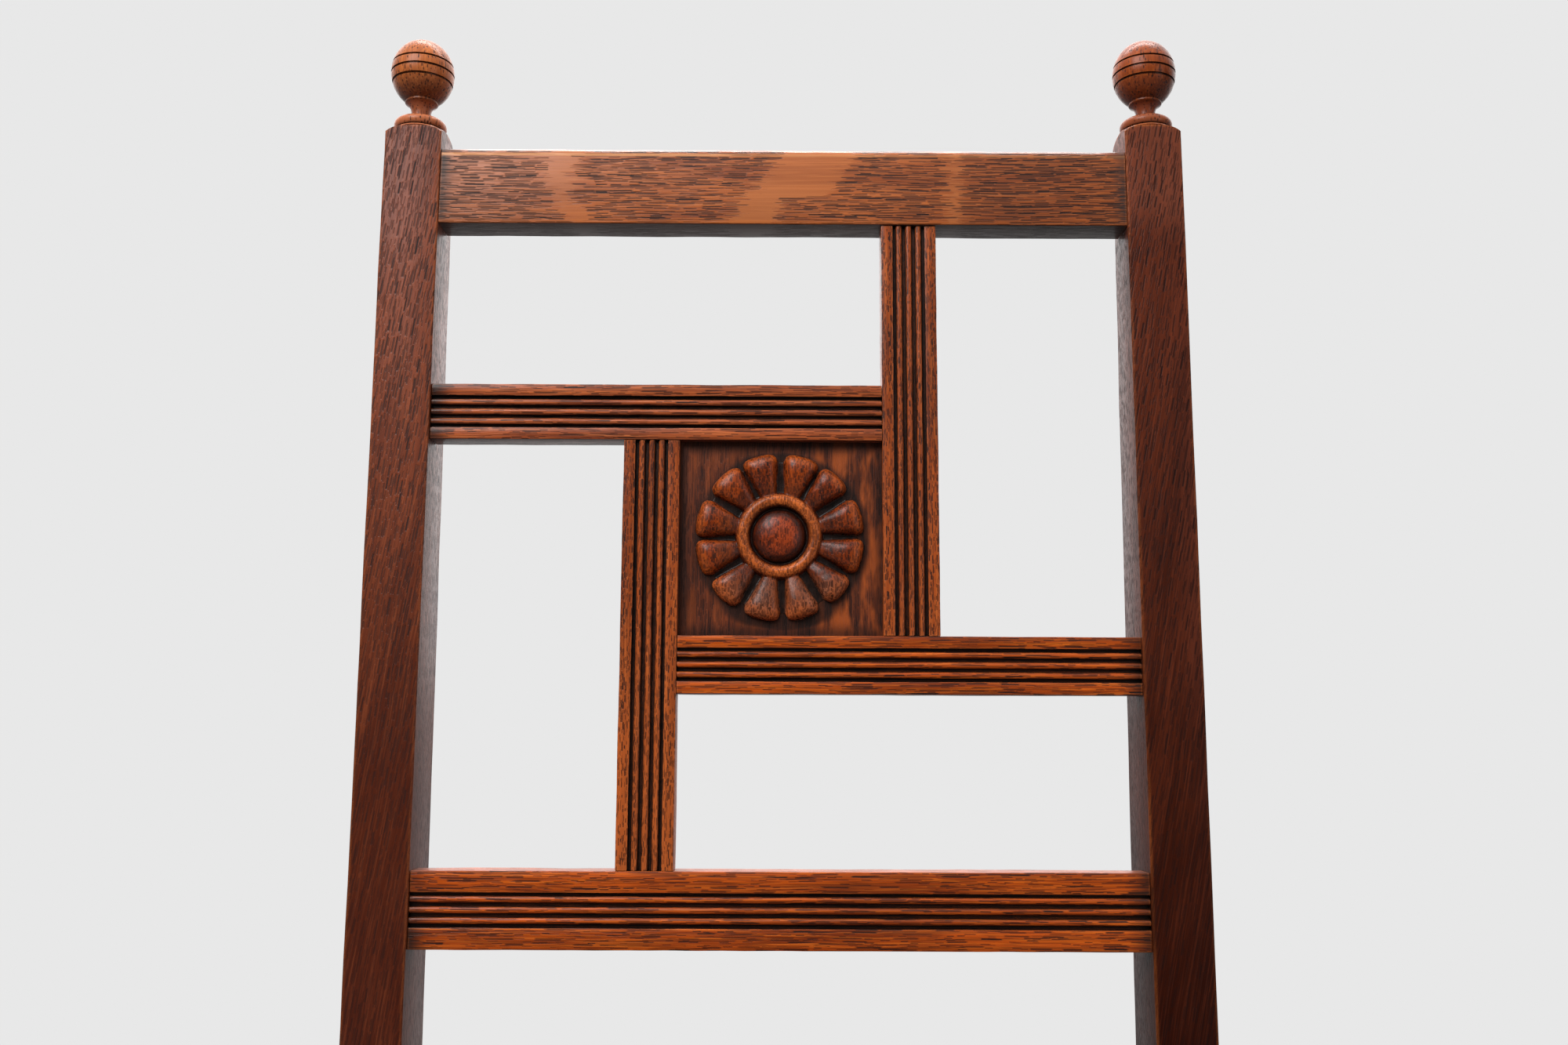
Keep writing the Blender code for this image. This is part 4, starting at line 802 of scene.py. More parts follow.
seatSizes = {"reveal": 0.0015, "thick": 0.024, "lip": 0.012, "recess": 0.016, "ledge": 0.010, "clear": 0.02,
             "backDepth": 0.022, "arris": 0.0008, "pitch": 0.008, "sway": (0.04, 0.0006)}
legSizes = {"width": 0.038, "foot": 0.017, "footHeight": 0.030, "footBulge": 1.2, "ankle": 0.010,
            "bead": 0.003, "ankleSpace": 0.0045, "blockSpace": 0.0075, "shank": 0.012, "shaft": 0.016,
            "lowBlock": 0.125, "highBlock": 0.185, "topBlock": 0.372, "ringStep": 0.006, "ringHalf": 0.0006,
            "ringDepth": 0.0008, "shoulderRise": 0.0062, "shoulderSeat": 0.45, "shoulderReach": 0.75,
            "shoulderSteps": 10, "clear": 0.01, "arris": 0.0009, "spin": 72}
stretcherSizes = {"level": 0.155, "height": 0.026, "thick": 0.018, "middleHeight": 0.022, "backLevel": 0.235,
                  "arris": 0.0012}
railLow = plan["railTop"] - plan["railHeight"]
legInner = plan["frontWidth"] / 2 - legSizes["width"]
legBack = legSizes["width"] - plan["seatDepth"]


def sideLine(y):                                # half of the chair's width at a depth
    return plan["backWidth"] / 2 - (plan["frontWidth"] - plan["backWidth"]) / 2 * y / plan["seatDepth"]


def seatHalf(y, inset):
    return sideLine(y) - seatSizes["reveal"] - seatSizes["lip"] - inset


def seatOutline(inset):                         # the recess, or a shape inside it
    front = seatSizes["reveal"] + seatSizes["lip"] - plan["seatDepth"] + inset
    corners = ((front, -1), (front, 1), (-inset, 1), (-inset, -1))
    return [(side * seatHalf(y, inset), y) for y, side in corners]


def cutRecess(obj):
    low = plan["railTop"] - seatSizes["recess"]
    carve(obj, newPrism("recess", seatOutline(0), low, plan["railTop"] + seatSizes["clear"]))


def plainBar(bar, along, arris, finish, node, recess=False):    # worn arrises and a slight sway
    bevelEdges(bar, lambda a, b: abs((b - a).normalized().dot(along)) > 0.98, arris, 3)
    cutAlong(bar, along, seatSizes["pitch"])
    uneven(bar, *seatSizes["sway"])
    if recess:
        cutRecess(bar)
    toSeat(bar)
    finishPiece(bar, finish, node)


def frontRail(finish):
    face = seatSizes["reveal"] - plan["seatDepth"]
    low = (gap - legInner, face, railLow)
    high = (legInner - gap, face + seatSizes["thick"], plan["railTop"])
    reededBar("frontSeatRail", low, high, axisX, finish, "front_seat_rail", leaning=False)


def sideRail(side, word, finish):
    size = seatSizes
    near, far = legBack + gap, -gap
    outline = [(side * (sideLine(y) - size["reveal"] - inset), y)
               for y, inset in ((near, 0), (far, 0), (far, size["thick"]), (near, size["thick"]))]
    rail = newPrism(word + "SideRail", outline, railLow, plan["railTop"])
    plainBar(rail, axisY, size["arris"], finish, "side_seat_rail_" + word, recess=True)


def backRail(finish):
    half = postInner - gap
    rail = newBlock("backSeatRail", (-half, -seatSizes["ledge"], railLow),
                    (half, seatSizes["backDepth"], plan["railTop"]))
    plainBar(rail, axisX, seatSizes["arris"], finish, "back_seat_rail", recess=True)


def shoulder(level, way):                       # where the square of a leg turns round
    size = legSizes
    seat, reach = size["width"] * size["shoulderSeat"], size["width"] * size["shoulderReach"]
    rise, steps = way * size["shoulderRise"], size["shoulderSteps"]
    turns = [math.pi / 2 * step / steps for step in range(steps + 1)]
    return [(seat + (reach - seat) * math.sin(turn), level + rise * (1 - math.cos(turn)))
            for turn in turns][::way]


def frontLeg(side, word, finish):
    size = legSizes
    half, bead = size["footHeight"] / 2, size["bead"]
    cap = math.degrees(math.asin(1 / size["footBulge"]))
    profile = [(0, 0)] + arc((0, half), (size["foot"], half * size["footBulge"]), -cap, cap, 24)
    ankle = size["footHeight"] + bead
    profile += [(size["ankle"], ankle)]
    profile += arc((size["shank"], ankle + size["ankleSpace"]), (bead, bead), -90, 90, 10)
    profile += arc((size["shaft"] - bead, size["lowBlock"] - size["blockSpace"]), (bead, bead), -90, 90, 10)
    profile += shoulder(size["lowBlock"], 1) + shoulder(size["highBlock"], -1)
    profile += arc((size["shank"], size["highBlock"] + size["blockSpace"]), (bead, bead), -90, 90, 10)
    middle, radius = (size["highBlock"] + size["topBlock"]) / 2, (size["shank"] + size["shaft"]) / 2
    for ring in (-1, 0, 1):
        level = middle + ring * size["ringStep"]
        profile += [(radius, level - size["ringHalf"]), (radius - size["ringDepth"], level),
                    (radius, level + size["ringHalf"])]
    profile += arc((size["shaft"], size["topBlock"] - size["blockSpace"]), (bead, bead), -90, 90, 10)
    profile += shoulder(size["topBlock"], 1)
    high = plan["railTop"] + size["clear"]
    profile += [(profile[-1][0], high), (0, high)]
    outer = plan["frontWidth"] / 2
    axis = (side * (outer - size["width"] / 2), size["width"] / 2 - plan["seatDepth"])
    leg = spinProfile(word + "FrontLeg", profile, size["spin"], axis)
    xs = sorted((side * outer, side * legInner))            # the square stock that the leg is turned from
    stock = newBlock("stock", (xs[0], -plan["seatDepth"], -size["clear"]), (xs[1], legBack, plan["railTop"]))
    bevelEdges(stock, lambda a, b: max(a.z, b.z) > 0, size["arris"], 3)
    carve(leg, stock, "INTERSECT")
    cutRecess(leg)
    toSeat(leg)
    finishPiece(leg, finish, "front_leg_" + word)


def rearFront(height):                          # front of the kicked rear leg
    return (postSizes["knee"] - height) * math.tan(postSizes["kick"])


def stretcherLine(y):                           # half of the distance between the side stretchers
    size = legSizes
    near = (size["width"] / 2 - plan["seatDepth"], (plan["frontWidth"] - size["width"]) / 2)
    far = (rearFront(stretcherSizes["level"]), (plan["backWidth"] - postSizes["width"]) / 2)
    return near[1] + (far[1] - near[1]) * (y - near[0]) / (far[0] - near[0])


def stretchers(sideFinish, crossFinish):
    size = stretcherSizes
    half = size["thick"] / 2
    low, high = size["level"] - size["height"] / 2, size["level"] + size["height"] / 2
    near, far = legBack + gap, rearFront(low) - gap
    corners = ((near, 1), (far, 1), (far, -1), (near, -1))
    for side, word in bothSides:
        outline = [(side * (stretcherLine(y) + out * half), y) for y, out in corners]
        bar = newPrism(word + "Stretcher", outline, low, high)
        for vert in bar.data.vertices:          # the far end leans with the leg
            if vert.co.y > 0 and vert.co.z > size["level"]:
                vert.co.y = rearFront(high) - gap
        plainBar(bar, axisY, size["arris"], sideFinish, "side_stretcher_" + word)
    middle = (legBack + rearFront(size["level"])) / 2
    near, far = middle - half, middle + half
    corners = ((near, -1), (near, 1), (far, 1), (far, -1))
    outline = [(side * (stretcherLine(y) - half - gap), y) for y, side in corners]
    bar = newPrism("middleStretcher", outline, size["level"] - size["middleHeight"] / 2,
                   size["level"] + size["middleHeight"] / 2)
    plainBar(bar, axisX, size["arris"], crossFinish, "middle_stretcher")
    share = size["backLevel"] / postSizes["knee"]
    depth = postSizes["footDepth"] + (postSizes["seatDepth"] - postSizes["footDepth"]) * share
    middle = rearFront(size["backLevel"]) + depth / 2
    length = postInner - gap
    bar = newBlock("backStretcher", (-length, middle - half, size["backLevel"] - size["height"] / 2),
                   (length, middle + half, size["backLevel"] + size["height"] / 2))
    plainBar(bar, axisX, size["arris"], crossFinish, "back_stretcher")


# Drop-in seat

dropSizes = {"clearance": 0.0015, "leather": 0.0015, "bottom": 0.4243, "edge": 0.4525,
             "crown": 0.0235, "power": 2.4, "fullness": 0.8, "softEdge": 0.005, "wallTop": 0.4475,
             "wallRound": 0.004, "voxel": 0.0055, "cavity": 0.4447, "pinned": 0.442, "swell": 0.005,
             "pressure": 4.0, "frames": 20, "frameInset": 0.0033, "frameWidth": 0.050,
             "webLevel": 0.44195, "webWave": 0.00075, "webThick": 0.0011, "webWidth": 0.050,
             "webPitch": 0.100, "webLap": 0.032, "webFlat": 0.030, "webMesh": 0.004,
             "hessian": 0.4436, "hessianThick": 0.0008, "hessianMargin": 0.006, "hessianMesh": (60, 56),
             "clear": 0.01}


def strap(name, start, stop, side, across, ways, finish, node):
    size = dropSizes
    length = stop - start
    obj = newObject(name, bpy.ops.mesh.primitive_grid_add, x_subdivisions=round(length / size["webMesh"]),
                    y_subdivisions=8, size=1)
    half = size["webPitch"] / 2
    for vert in obj.data.vertices:
        reach = start + (vert.co.x + 0.5) * length
        level = -size["webWave"]
        for crossing, way in ways:              # over one strap and under the next
            near = abs(reach - crossing)
            share = min(1, max(0, (half - near) / (half - size["webFlat"])))
            level += (way + 1) * size["webWave"] * (0.5 - 0.5 * math.cos(math.pi * share))
        sides = side + vert.co.y * size["webWidth"]
        height = size["webLevel"] + level - size["webThick"] / 2
        vert.co = (sides, reach, height) if across == axisX else (reach, sides, height)
    applyModifier(obj, "SOLIDIFY", thickness=size["webThick"], offset=1.0 if across == axisY else -1.0)
    toSeat(obj)
    finishPiece(obj, finish, node, slot="webbing", body="drop_in_seat")


def webbing(longFinish, crossFinish):
    size = dropSizes
    corners = seatOutline(size["frameInset"])
    near, far = corners[0][1], corners[2][1]
    middle = (near + far) / 2
    edge = size["frameWidth"] - size["webLap"]
    for number in (-1, 0, 1):
        ways = [(other * size["webPitch"], 1 if (number + other) % 2 == 0 else -1) for other in (-1, 0, 1)]
        strap(f"longStrap{number + 2}", near + edge, far - edge, number * size["webPitch"], axisX,
              [(middle + away, way) for away, way in ways], longFinish, f"webbing_long_{number + 2}")
        y = middle + number * size["webPitch"]
        reach = seatHalf(y + size["webWidth"] / 2, size["frameInset"]) - edge
        strap(f"crossStrap{number + 2}", -reach, reach, y, axisY, [(away, -way) for away, way in ways],
              crossFinish, f"webbing_cross_{number + 2}")


def hessian(finish):
    size = dropSizes
    inset = size["frameInset"] + size["hessianMargin"]
    corners = seatOutline(inset)
    columns, rows = size["hessianMesh"]
    obj = newObject("hessianCloth", bpy.ops.mesh.primitive_grid_add, x_subdivisions=columns,
                    y_subdivisions=rows, size=2)
    for vert in obj.data.vertices:
        y = corners[0][1] + (vert.co.y + 1) / 2 * (corners[2][1] - corners[0][1])
        vert.co = (vert.co.x * seatHalf(y, inset), y, size["hessian"])
    applyModifier(obj, "SOLIDIFY", thickness=size["hessianThick"], offset=1.0)
    toSeat(obj)
    width, length = 2 * corners[1][0], corners[2][1] - corners[0][1]
    (width + 2 * corners[2][0]) / 2 * length
    finishPiece(obj, finish, "hessian_sheet", slot="hessian", body="drop_in_seat")


def roundedSlab(name, outline, low, high, corner, edge=0):      # round corners, and a round upper edge
    slab = newPrism(name, outline, low, high)
    bevelEdges(slab, lambda a, b: abs(a.z - b.z) > 0.01, corner, 4)
    if edge:
        bevelEdges(slab, lambda a, b: min(a.z, b.z) > high - 0.0001, edge, 4)
    return slab


def leatherSeat(finish):
    size = dropSizes
    corners = seatOutline(size["clearance"])
    near, far = corners[0][1], corners[2][1]
    pad = roundedSlab("leatherSeat", corners, size["bottom"], size["edge"],
                      size["wallRound"], size["softEdge"])
    applyModifier(pad, "REMESH", mode="VOXEL", voxel_size=size["voxel"])
    for vert in pad.data.vertices:              # the stuffing's crown
        u = vert.co.x / seatHalf(vert.co.y, size["clearance"])
        v = 2 * (vert.co.y - near) / (far - near) - 1
        dome = max(0, (1 - abs(u) ** size["power"]) * (1 - abs(v) ** size["power"])) ** size["fullness"]
        if vert.co.z > size["pinned"]:
            vert.co.z += size["crown"] * dome
    inflate(pad)
    applyModifier(pad, "SUBSURF", levels=1, render_levels=1)
    wall = roundedSlab("wall", corners, size["bottom"], size["wallTop"], size["wallRound"], size["wallRound"])
    carve(pad, wall, "UNION")                   # straight sides, which the remesh drew in
    hollow = seatOutline(size["clearance"] + size["leather"])
    carve(pad, roundedSlab("cavity", hollow, size["bottom"] - size["clear"], size["cavity"],
                           size["wallRound"] - size["leather"]))
    toSeat(pad)
    finishPiece(pad, finish, "leather_cover", "seat_stuffing", slot="leather", body="drop_in_seat", angle=60)


def inflate(obj):                               # the stuffing pushes the leather out
    size = dropSizes
    before = [vert.co.copy() for vert in obj.data.vertices]
    held = obj.vertex_groups.new(name="held")
    held.add([vert.index for vert in obj.data.vertices if vert.co.z < size["pinned"]], 1.0, "REPLACE")
    pickUp(obj)
    cloth = obj.modifiers.new("cloth", "CLOTH")
    cloth.settings.vertex_group_mass = "held"
    cloth.settings.use_pressure = True
    cloth.settings.uniform_pressure_force = size["pressure"]
    cloth.settings.effector_weights.gravity = 0.0
    cloth.settings.quality = 5
    for number in range(1, size["frames"] + 1):
        bpy.context.scene.frame_set(number)
    bpy.ops.object.modifier_apply(modifier=cloth.name)
    bpy.context.scene.frame_set(1)
    for vert, start in zip(obj.data.vertices, before):
        move = vert.co - start
        if move.length > size["swell"]:
            vert.co = start + move * (size["swell"] / move.length)
    obj.vertex_groups.clear()


# Pieces whose CAD shape is right

braceLook = {"frameArris": 0.0006, "braceArris": 0.0008, "screws": 8, "weld": 0.00002,
             "angle": math.radians(35)}


def dressNode(node, finish, arris):
    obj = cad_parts[node]
    obj.material_slots[0].material = finish
    if arris:
        weld = obj.modifiers.new("weld", "WELD")
        weld.merge_threshold = braceLook["weld"]
        bevel = obj.modifiers.new("bevel", "BEVEL")
        bevel.width = arris
        bevel.segments = 2
        bevel.limit_method = "ANGLE"
        bevel.angle_limit = braceLook["angle"]


# Finishes under the seat and on it

leatherLook = {"deep": colour(46, 24, 18), "mid": colour(86, 44, 28), "rub": colour(132, 76, 46),
               "crack": colour(28, 15, 12), "grain": 620.0, "folds": 95.0, "rim": 0.008, "gloss": 0.45}


def leatherFinish(name):
    look = leatherLook
    material, wire, shader = newFinish(name)
    spot = wire.add("TexCoord", output="Object")
    tone = spot.noise((14, 14, 14), 3.0)
    warp = spot.times((160, 160, 160)).spread(1.0)
    fine = spot.plus(warp.times((0.0012, 0.0012, 0.0012)))
    wide = spot.times((1, 1, 0.3)).plus(warp.times((0.006, 0.006, 0.0)))
    cells, folds = [wire.add("TexVoronoi", {"feature": "DISTANCE_TO_EDGE"}, {"Vector": bent, "Scale": scale},
                             "Distance") for bent, scale in ((fine, look["grain"]), (wide, look["folds"]))]
    grainy = cells.step(0.0, 0.22)
    crease = folds.step(0.05, 0.0) * tone.step(0.42, 0.62)
    markShare = spot.noise((9, 11, 11), 4.0, 0.6).step(0.50, 0.68)
    upper = spot.parts()[2].step(dropSizes["edge"] - look["rim"], dropSizes["edge"])
    proud = cavities(wire, look["rim"], True).step(0.06, 0.40) * upper
    base = wire.mix(look["deep"], look["mid"], tone.step(0.32, 0.66))
    base = base.blend(look["rub"], (markShare * 0.35 + proud * 0.55).least(0.8) * (0.4 + 0.6 * grainy))
    base = base.blend(look["crack"], (crease * 0.7 + (1 - grainy) * 0.35).least(0.85))
    setShader(wire, shader, {"Base Color": base, "Roughness": 0.40 + (1 - grainy) * 0.2 + markShare * 0.12,
                             "Specular IOR Level": look["gloss"]}, (0.5, 0.0005, grainy * 0.35 - crease))
    return material


beechLook = {"pale": colour(206, 168, 120), "mid": colour(178, 132, 88), "fleck": colour(122, 82, 52),
             "dirtAndShade": colour(60, 40, 28)}


def beechFinish(name, along, face, centre):
    look = beechLook
    material, wire, shader = newFinish(name)
    grain = grainSpace(wire, along, face, centre)
    tone = grain.noise((6, 70, 70), 3.0)
    saw = grain.noise((420, 30, 30))            # marks of the saw across the grain
    cells = wire.add("TexVoronoi", {"feature": "F1"},
                     {"Vector": grain.times((330, 1500, 1500)), "Scale": 1.0}, "Distance")
    fleck = cells.step(0.36, 0.16)
    blotch = grain.noise((16, 16, 16), 3.0).step(0.52, 0.80)
    # darker in corners and crevices: dust, with painted shade
    cornerDustAndShade = cavities(wire, 0.006).step(0.2, 0.7)
    base = wire.mix(look["mid"], look["pale"], tone.step(0.3, 0.7))
    base = base.blend(look["fleck"], fleck * 0.55)
    base = base.blend(look["dirtAndShade"], (blotch * 0.45 + cornerDustAndShade * 0.6).least(0.9))
    setShader(wire, shader, {"Base Color": base, "Roughness": 0.62 + fleck * 0.15},
              (0.4, 0.0003, saw * 0.5 - fleck * 0.4))
    return material


webLook = {"pale": colour(196, 172, 132), "deep": colour(134, 108, 76), "stripe": colour(92, 44, 34),
           "pitch": 0.0016,
           "bands": ((0.021, 0.0016), (0.0075, 0.0012))}        # from the strap's middle, half width
hessianLook = {"pale": colour(188, 152, 104), "deep": colour(120, 88, 56), "pitch": 0.0022, "bands": ()}


def wovenFinish(name, along, look):             # yarns over and under
    material, wire, shader = newFinish(name)
    u, v = grainSpace(wire, along, axisZ, Vector((0, postFront, 0))).parts()[:2]
    half = math.pi / look["pitch"]
    overU, overV = (u * half).sine(), (v * half).sine()
    warp = (overU * overV).step(-0.10, 0.10)
    height = warp * abs(overV) + (1 - warp) * abs(overU)
    spot = wire.add("TexCoord", output="Object")
    fuzz = spot.noise((900, 900, 900))
    tone = spot.noise((18, 18, 18), 3.0)
    base = wire.mix(look["deep"], look["pale"], (tone * 0.6 + fuzz * 0.4).step(0.3, 0.7))
    for level, wide in look["bands"]:           # coloured warp yarns, the same on each strap
        middle = ((v / dropSizes["webPitch"] + 0.5).fract() - 0.5) * dropSizes["webPitch"]
        band = abs(abs(middle) - level).step(wide, wide * 0.8)
        base = base.blend(look["stripe"], band * (0.35 + 0.65 * warp))
    # darker where the yarns dip under: painted shade between the yarns
    base = base.blend(look["deep"], height.step(0.55, 0.05) * 0.8)
    setShader(wire, shader, {"Base Color": base, "Roughness": 0.92, "Specular IOR Level": 0.15},
              (0.7, look["pitch"] * 0.4, height))
    return material


steelLook = {"dull": colour(118, 112, 104), "bright": colour(158, 150, 140), "rust": colour(84, 50, 30)}


def steelFinish(name):                          # old screws with brown rust
    look = steelLook
    material, wire, shader = newFinish(name)
    spot = wire.add("TexCoord", output="Object")
    rust = spot.noise((420, 420, 420), 4.0, 0.6).step(0.42, 0.62)
    scratch = spot.noise((3000, 300, 3000))
    base = wire.mix(look["dull"], look["bright"], scratch.step(0.3, 0.7))
    base = base.blend(look["rust"], rust * 0.8)
    setShader(wire, shader, {"Base Color": base, "Metallic": 1 - rust * 0.85,
                             "Roughness": 0.38 + rust * 0.45}, (0.4, 0.0002, rust + scratch * 0.3))
    return material


# Stage: floor, light and camera

stageLook = {"backdrop": colour(232, 232, 232), "floor": colour(178, 178, 178), "bounce": colour(96, 96, 96),
             "floorSize": 16.0, "near": 0.9, "far": 1.5, "dim": 0.05, "behind": 1.75, "overhead": 0.90,
             "sheen": 0.40, "aim": (0, 0.1, 0.75),
             "lamps": (("keyLamp", (-0.85, -1.10, 2.30), (1.2, 1.2), 38),       # name, place, size, power
                       ("fillLamp", (1.9, -1.5, 1.3), (1.2, 1.2), 6),
                       ("topLamp", (0.1, 0.65, 2.2), (1.3, 0.25), 12))}
cameraFit = {"lens": 32.42, "sensor": 36.0, "nearest": 0.01, "place": (-0.0002, -0.5755, 0.7648),
             "pitch": 1.4, "roll": 0.252, "yaw": -0.109}        # degrees


def seenDirectly(wire):                         # camera, mirror and glass rays
    return wire.add("LightPath", output=("Is Camera Ray", "Is Glossy Ray", "Is Transmission Ray"))


def makeFloor():
    look = stageLook
    floor = newObject("studioFloor", bpy.ops.mesh.primitive_plane_add, size=look["floorSize"])
    material, wire, shader = newFinish("paleFloor")
    camera, glossy = seenDirectly(wire)[:2]
    setShader(wire, shader, {"Base Color": wire.mix(look["bounce"], look["floor"], camera), "Roughness": 0.9,
                             "Specular IOR Level": 0.0})
    x, y = wire.add("TexCoord", output="Object").parts()[:2]
    away = ((x * x + y * y) ** 0.5).step(look["near"], look["far"])
    glow = wire.add("Emission", {}, {"Color": look["backdrop"], "Strength": 1.0})
    plain = Wire(wire.tree, shader.outputs[0])
    mirrored = (camera + glossy * look["sheen"]).least(1.0)
    mixed = wire.add("MixShader", {}, {0: away * mirrored, 1: plain, 2: glow})
    wire.feed(wire.tree.nodes["Material Output"].inputs["Surface"], mixed)
    floor.data.materials.append(material)


def makeLight():
    look = stageLook
    world = bpy.data.worlds.new("softStudio")
    world.use_nodes = True
    bpy.context.scene.world = world
    wire = Wire(world.node_tree)
    y, z = wire.add("TexCoord", output="Generated").parts()[1:]
    camera, through = seenDirectly(wire)[::2]
    behind = y.step(-0.10, 0.80) * z.step(-0.45, 0.25)      # the pale backdrop stands behind the chair
    overhead = z.step(0.15, 0.95)
    level = look["dim"] + look["behind"] * behind + look["overhead"] * overhead
    tint = wire.add("CombineXYZ", {}, {0: level, 1: level, 2: level})
    dome = wire.add("Background", {}, {"Color": tint, "Strength": 1.0})
    backdrop = wire.add("Background", {}, {"Color": look["backdrop"], "Strength": 1.0})
    mixed = wire.add("MixShader", {}, {0: (camera + through).least(1.0), 1: dome, 2: backdrop})
    wire.feed(world.node_tree.nodes["World Output"].inputs["Surface"], mixed)
    for name, spot, size, power in look["lamps"]:
        lamp = newObject(name, bpy.ops.object.light_add, type="AREA", location=spot)
        lamp.data.shape = "RECTANGLE"
        lamp.data.size, lamp.data.size_y = size
        lamp.data.energy = power
        lamp.rotation_euler = (Vector(look["aim"]) - Vector(spot)).to_track_quat("-Z", "Y").to_euler()


def makeCamera():
    fit = cameraFit
    camera = newObject("Camera", bpy.ops.object.camera_add, location=fit["place"])
    turns = ((fit["yaw"], "Z"), (90 + fit["pitch"], "X"), (fit["roll"], "Z"))
    yaw, pitch, roll = [Matrix.Rotation(math.radians(turn), 3, axis) for turn, axis in turns]
    camera.rotation_euler = (yaw @ pitch @ roll).to_euler()
    camera.data.sensor_width = fit["sensor"]
    camera.data.lens = fit["lens"]
    camera.data.clip_start = fit["nearest"]
    bpy.context.scene.camera = camera


makeCamera()
makeLight()
makeFloor()
print("stage ready")

# The back

leanUp, leanFace = leanTurn @ axisZ, leanTurn @ -axisY
leftUp, rightUp = [(leanUp + tilt * axisX).normalized() for tilt in (0.15, 0.20)]  # the posts' grain runs off
backCentre = leanPlace + leanTurn @ Vector((0, 0, back["middle"]))
crestCentre = leanPlace + leanTurn @ Vector((0, 0, (crestSizes["low"] + crestSizes["high"]) / 2))
carvedCentre = backCentre + leanTurn @ Vector((rosetteSizes["side"] + rosetteSizes["middle"][0], 0,
                                               rosetteSizes["rise"] + rosetteSizes["middle"][1]))
groundLevel = -panelSizes["front"]              # of the panel, measured out of the back's face

crestLook = {
    "pale": colour(214, 126, 70), "mid": colour(194, 106, 56), "deep": colour(150, 76, 42),
    "pore": colour(22, 11, 10), "fleck": colour(200, 122, 72), "stainAndShade": colour(52, 43, 40),
    "pores": ((0.017, 0.0018, 0.0009, 1.0), (0.010, 0.0014, 0.0007, 1.0)), "close": True, "lines": 0.30,
    "flecks": ((-0.1255, 0.010, 0.0095, 0.0125, 0.0), (-0.124, -0.004, 0.0065, 0.012, -0.15),
               (-0.117, -0.017, 0.007, 0.009, -0.7), (0.012, 0.008, 0.023, 0.015, 0.55),
               (-0.014, -0.014, 0.013, 0.012, 0.4), (0.096, 0.0, 0.0050, 0.05, 0.03)),
    # the right part darker as painted shade, the left part paler and greyer as painted sheen
    "fades": ((0.03, 0.17, colour(126, 58, 24), 0.50, 1.1), (-0.09, -0.17, colour(182, 124, 98), 0.5, 1.0)),
    # the upper line is a painted highlight along the crest's rounded top; the lower one is a rubbed arris
    "highlightAndRubLines": ((0.0180, 0.0012, colour(230, 156, 98), 0.7), (-0.0215, 0.0016, colour(196, 106, 46), 0.5)),
    # the underside painted dark grey with the stain colour: painted shade and reflection
    "ends": (0.009, postInner), "under": 0.9, "patches": 0.15, "gloss": 0.27, "crown": 0.9, "belly": 0.2,
}
barLook = {"gloss": 0.12, "polish": 0.3, "hollow": (0.0044, 0.09, 0.39), "stainAndShade": colour(36, 22, 17)}
railLook = {
    **barLook, "pale": colour(238, 122, 36), "mid": colour(206, 88, 20), "deep": colour(136, 53, 13),
    "pores": ((0.016, 0.0015, 0.00090, 1.0), (0.006, 0.0012, 0.00060, 0.9)), "lines": 0.35,
    "ends": (0.014, postInner),
}
upperLook = {
    **railLook, "pale": colour(230, 130, 72), "mid": colour(198, 98, 50), "deep": colour(132, 60, 32),
    "belly": 0.9,
}
stileLook = {
    **barLook, "pale": colour(210, 110, 50), "mid": colour(174, 80, 32), "deep": colour(114, 48, 20),
    "pores": ((0.005, 0.0011, 0.00066, 1.0), (0.0025, 0.0010, 0.00055, 0.9)),
    "fades": ((0.0, -0.14, colour(222, 116, 54), 0.4, 1.0),),
}
postLook = {"wear": 0.9, "wearReach": 0.0024, "close": True}
leftPostLook = {
    **postLook, "pale": colour(164, 86, 52), "mid": colour(136, 67, 41), "deep": colour(100, 47, 30),
    "pores": ((0.011, 0.0026, 0.0010, 1.0), (0.005, 0.0016, 0.0007, 0.7)), "flank": 0.18,
    # darker towards the bottom: painted shade
    "fades": ((0.10, -0.26, colour(72, 26, 12), 0.98, 0.6),),
}
rightPostLook = {
    # colours darker than the left post's: painted shade, the light falling off to the right
    **postLook, "pale": colour(126, 59, 36), "mid": colour(102, 46, 28), "deep": colour(74, 32, 20),
    "pores": ((0.011, 0.0028, 0.0010, 0.95), (0.005, 0.0018, 0.0007, 0.6)), "gloss": 0.09,
    "pith": (-0.3, -0.10),
    # darker towards the bottom as painted shade; a paler pinkish band at the top as painted sheen
    "fades": ((0.14, -0.24, colour(42, 11, 4), 0.98, 0.6), (0.20, 0.235, colour(150, 84, 62), 0.45, 1.0)),
}
ballLook = {"pores": ((0.009, 0.0036, 0.0008, 1.0), (0.0025, 0.0020, 0.0008, 0.9)), "patches": 0.1,
            "gloss": 0.12, "polish": 0.2}
leftBallLook = {                                # fades: the ball's underside darker as painted shade, the neck, the base ring
    **ballLook, "pale": colour(218, 130, 70), "mid": colour(190, 104, 52), "deep": colour(148, 76, 40),
    "fades": ((0.269, 0.256, colour(72, 31, 15), 0.75, 1.0), (0.2532, 0.2520, colour(158, 88, 56), 0.9, 1.0),
              (0.2436, 0.2428, colour(206, 120, 78), 0.8, 1.0)),
}
rightBallLook = {
    **ballLook, "pale": colour(186, 94, 40), "mid": colour(156, 71, 28), "deep": colour(120, 52, 22),
    # the ball's underside darker as painted shade, then the neck and the base ring
    "fades": ((0.274, 0.258, colour(66, 26, 12), 0.7, 1.0), (0.2548, 0.2536, colour(126, 62, 38), 0.9, 1.0),
              (0.2459, 0.2451, colour(164, 88, 54), 0.8, 1.0)),
}
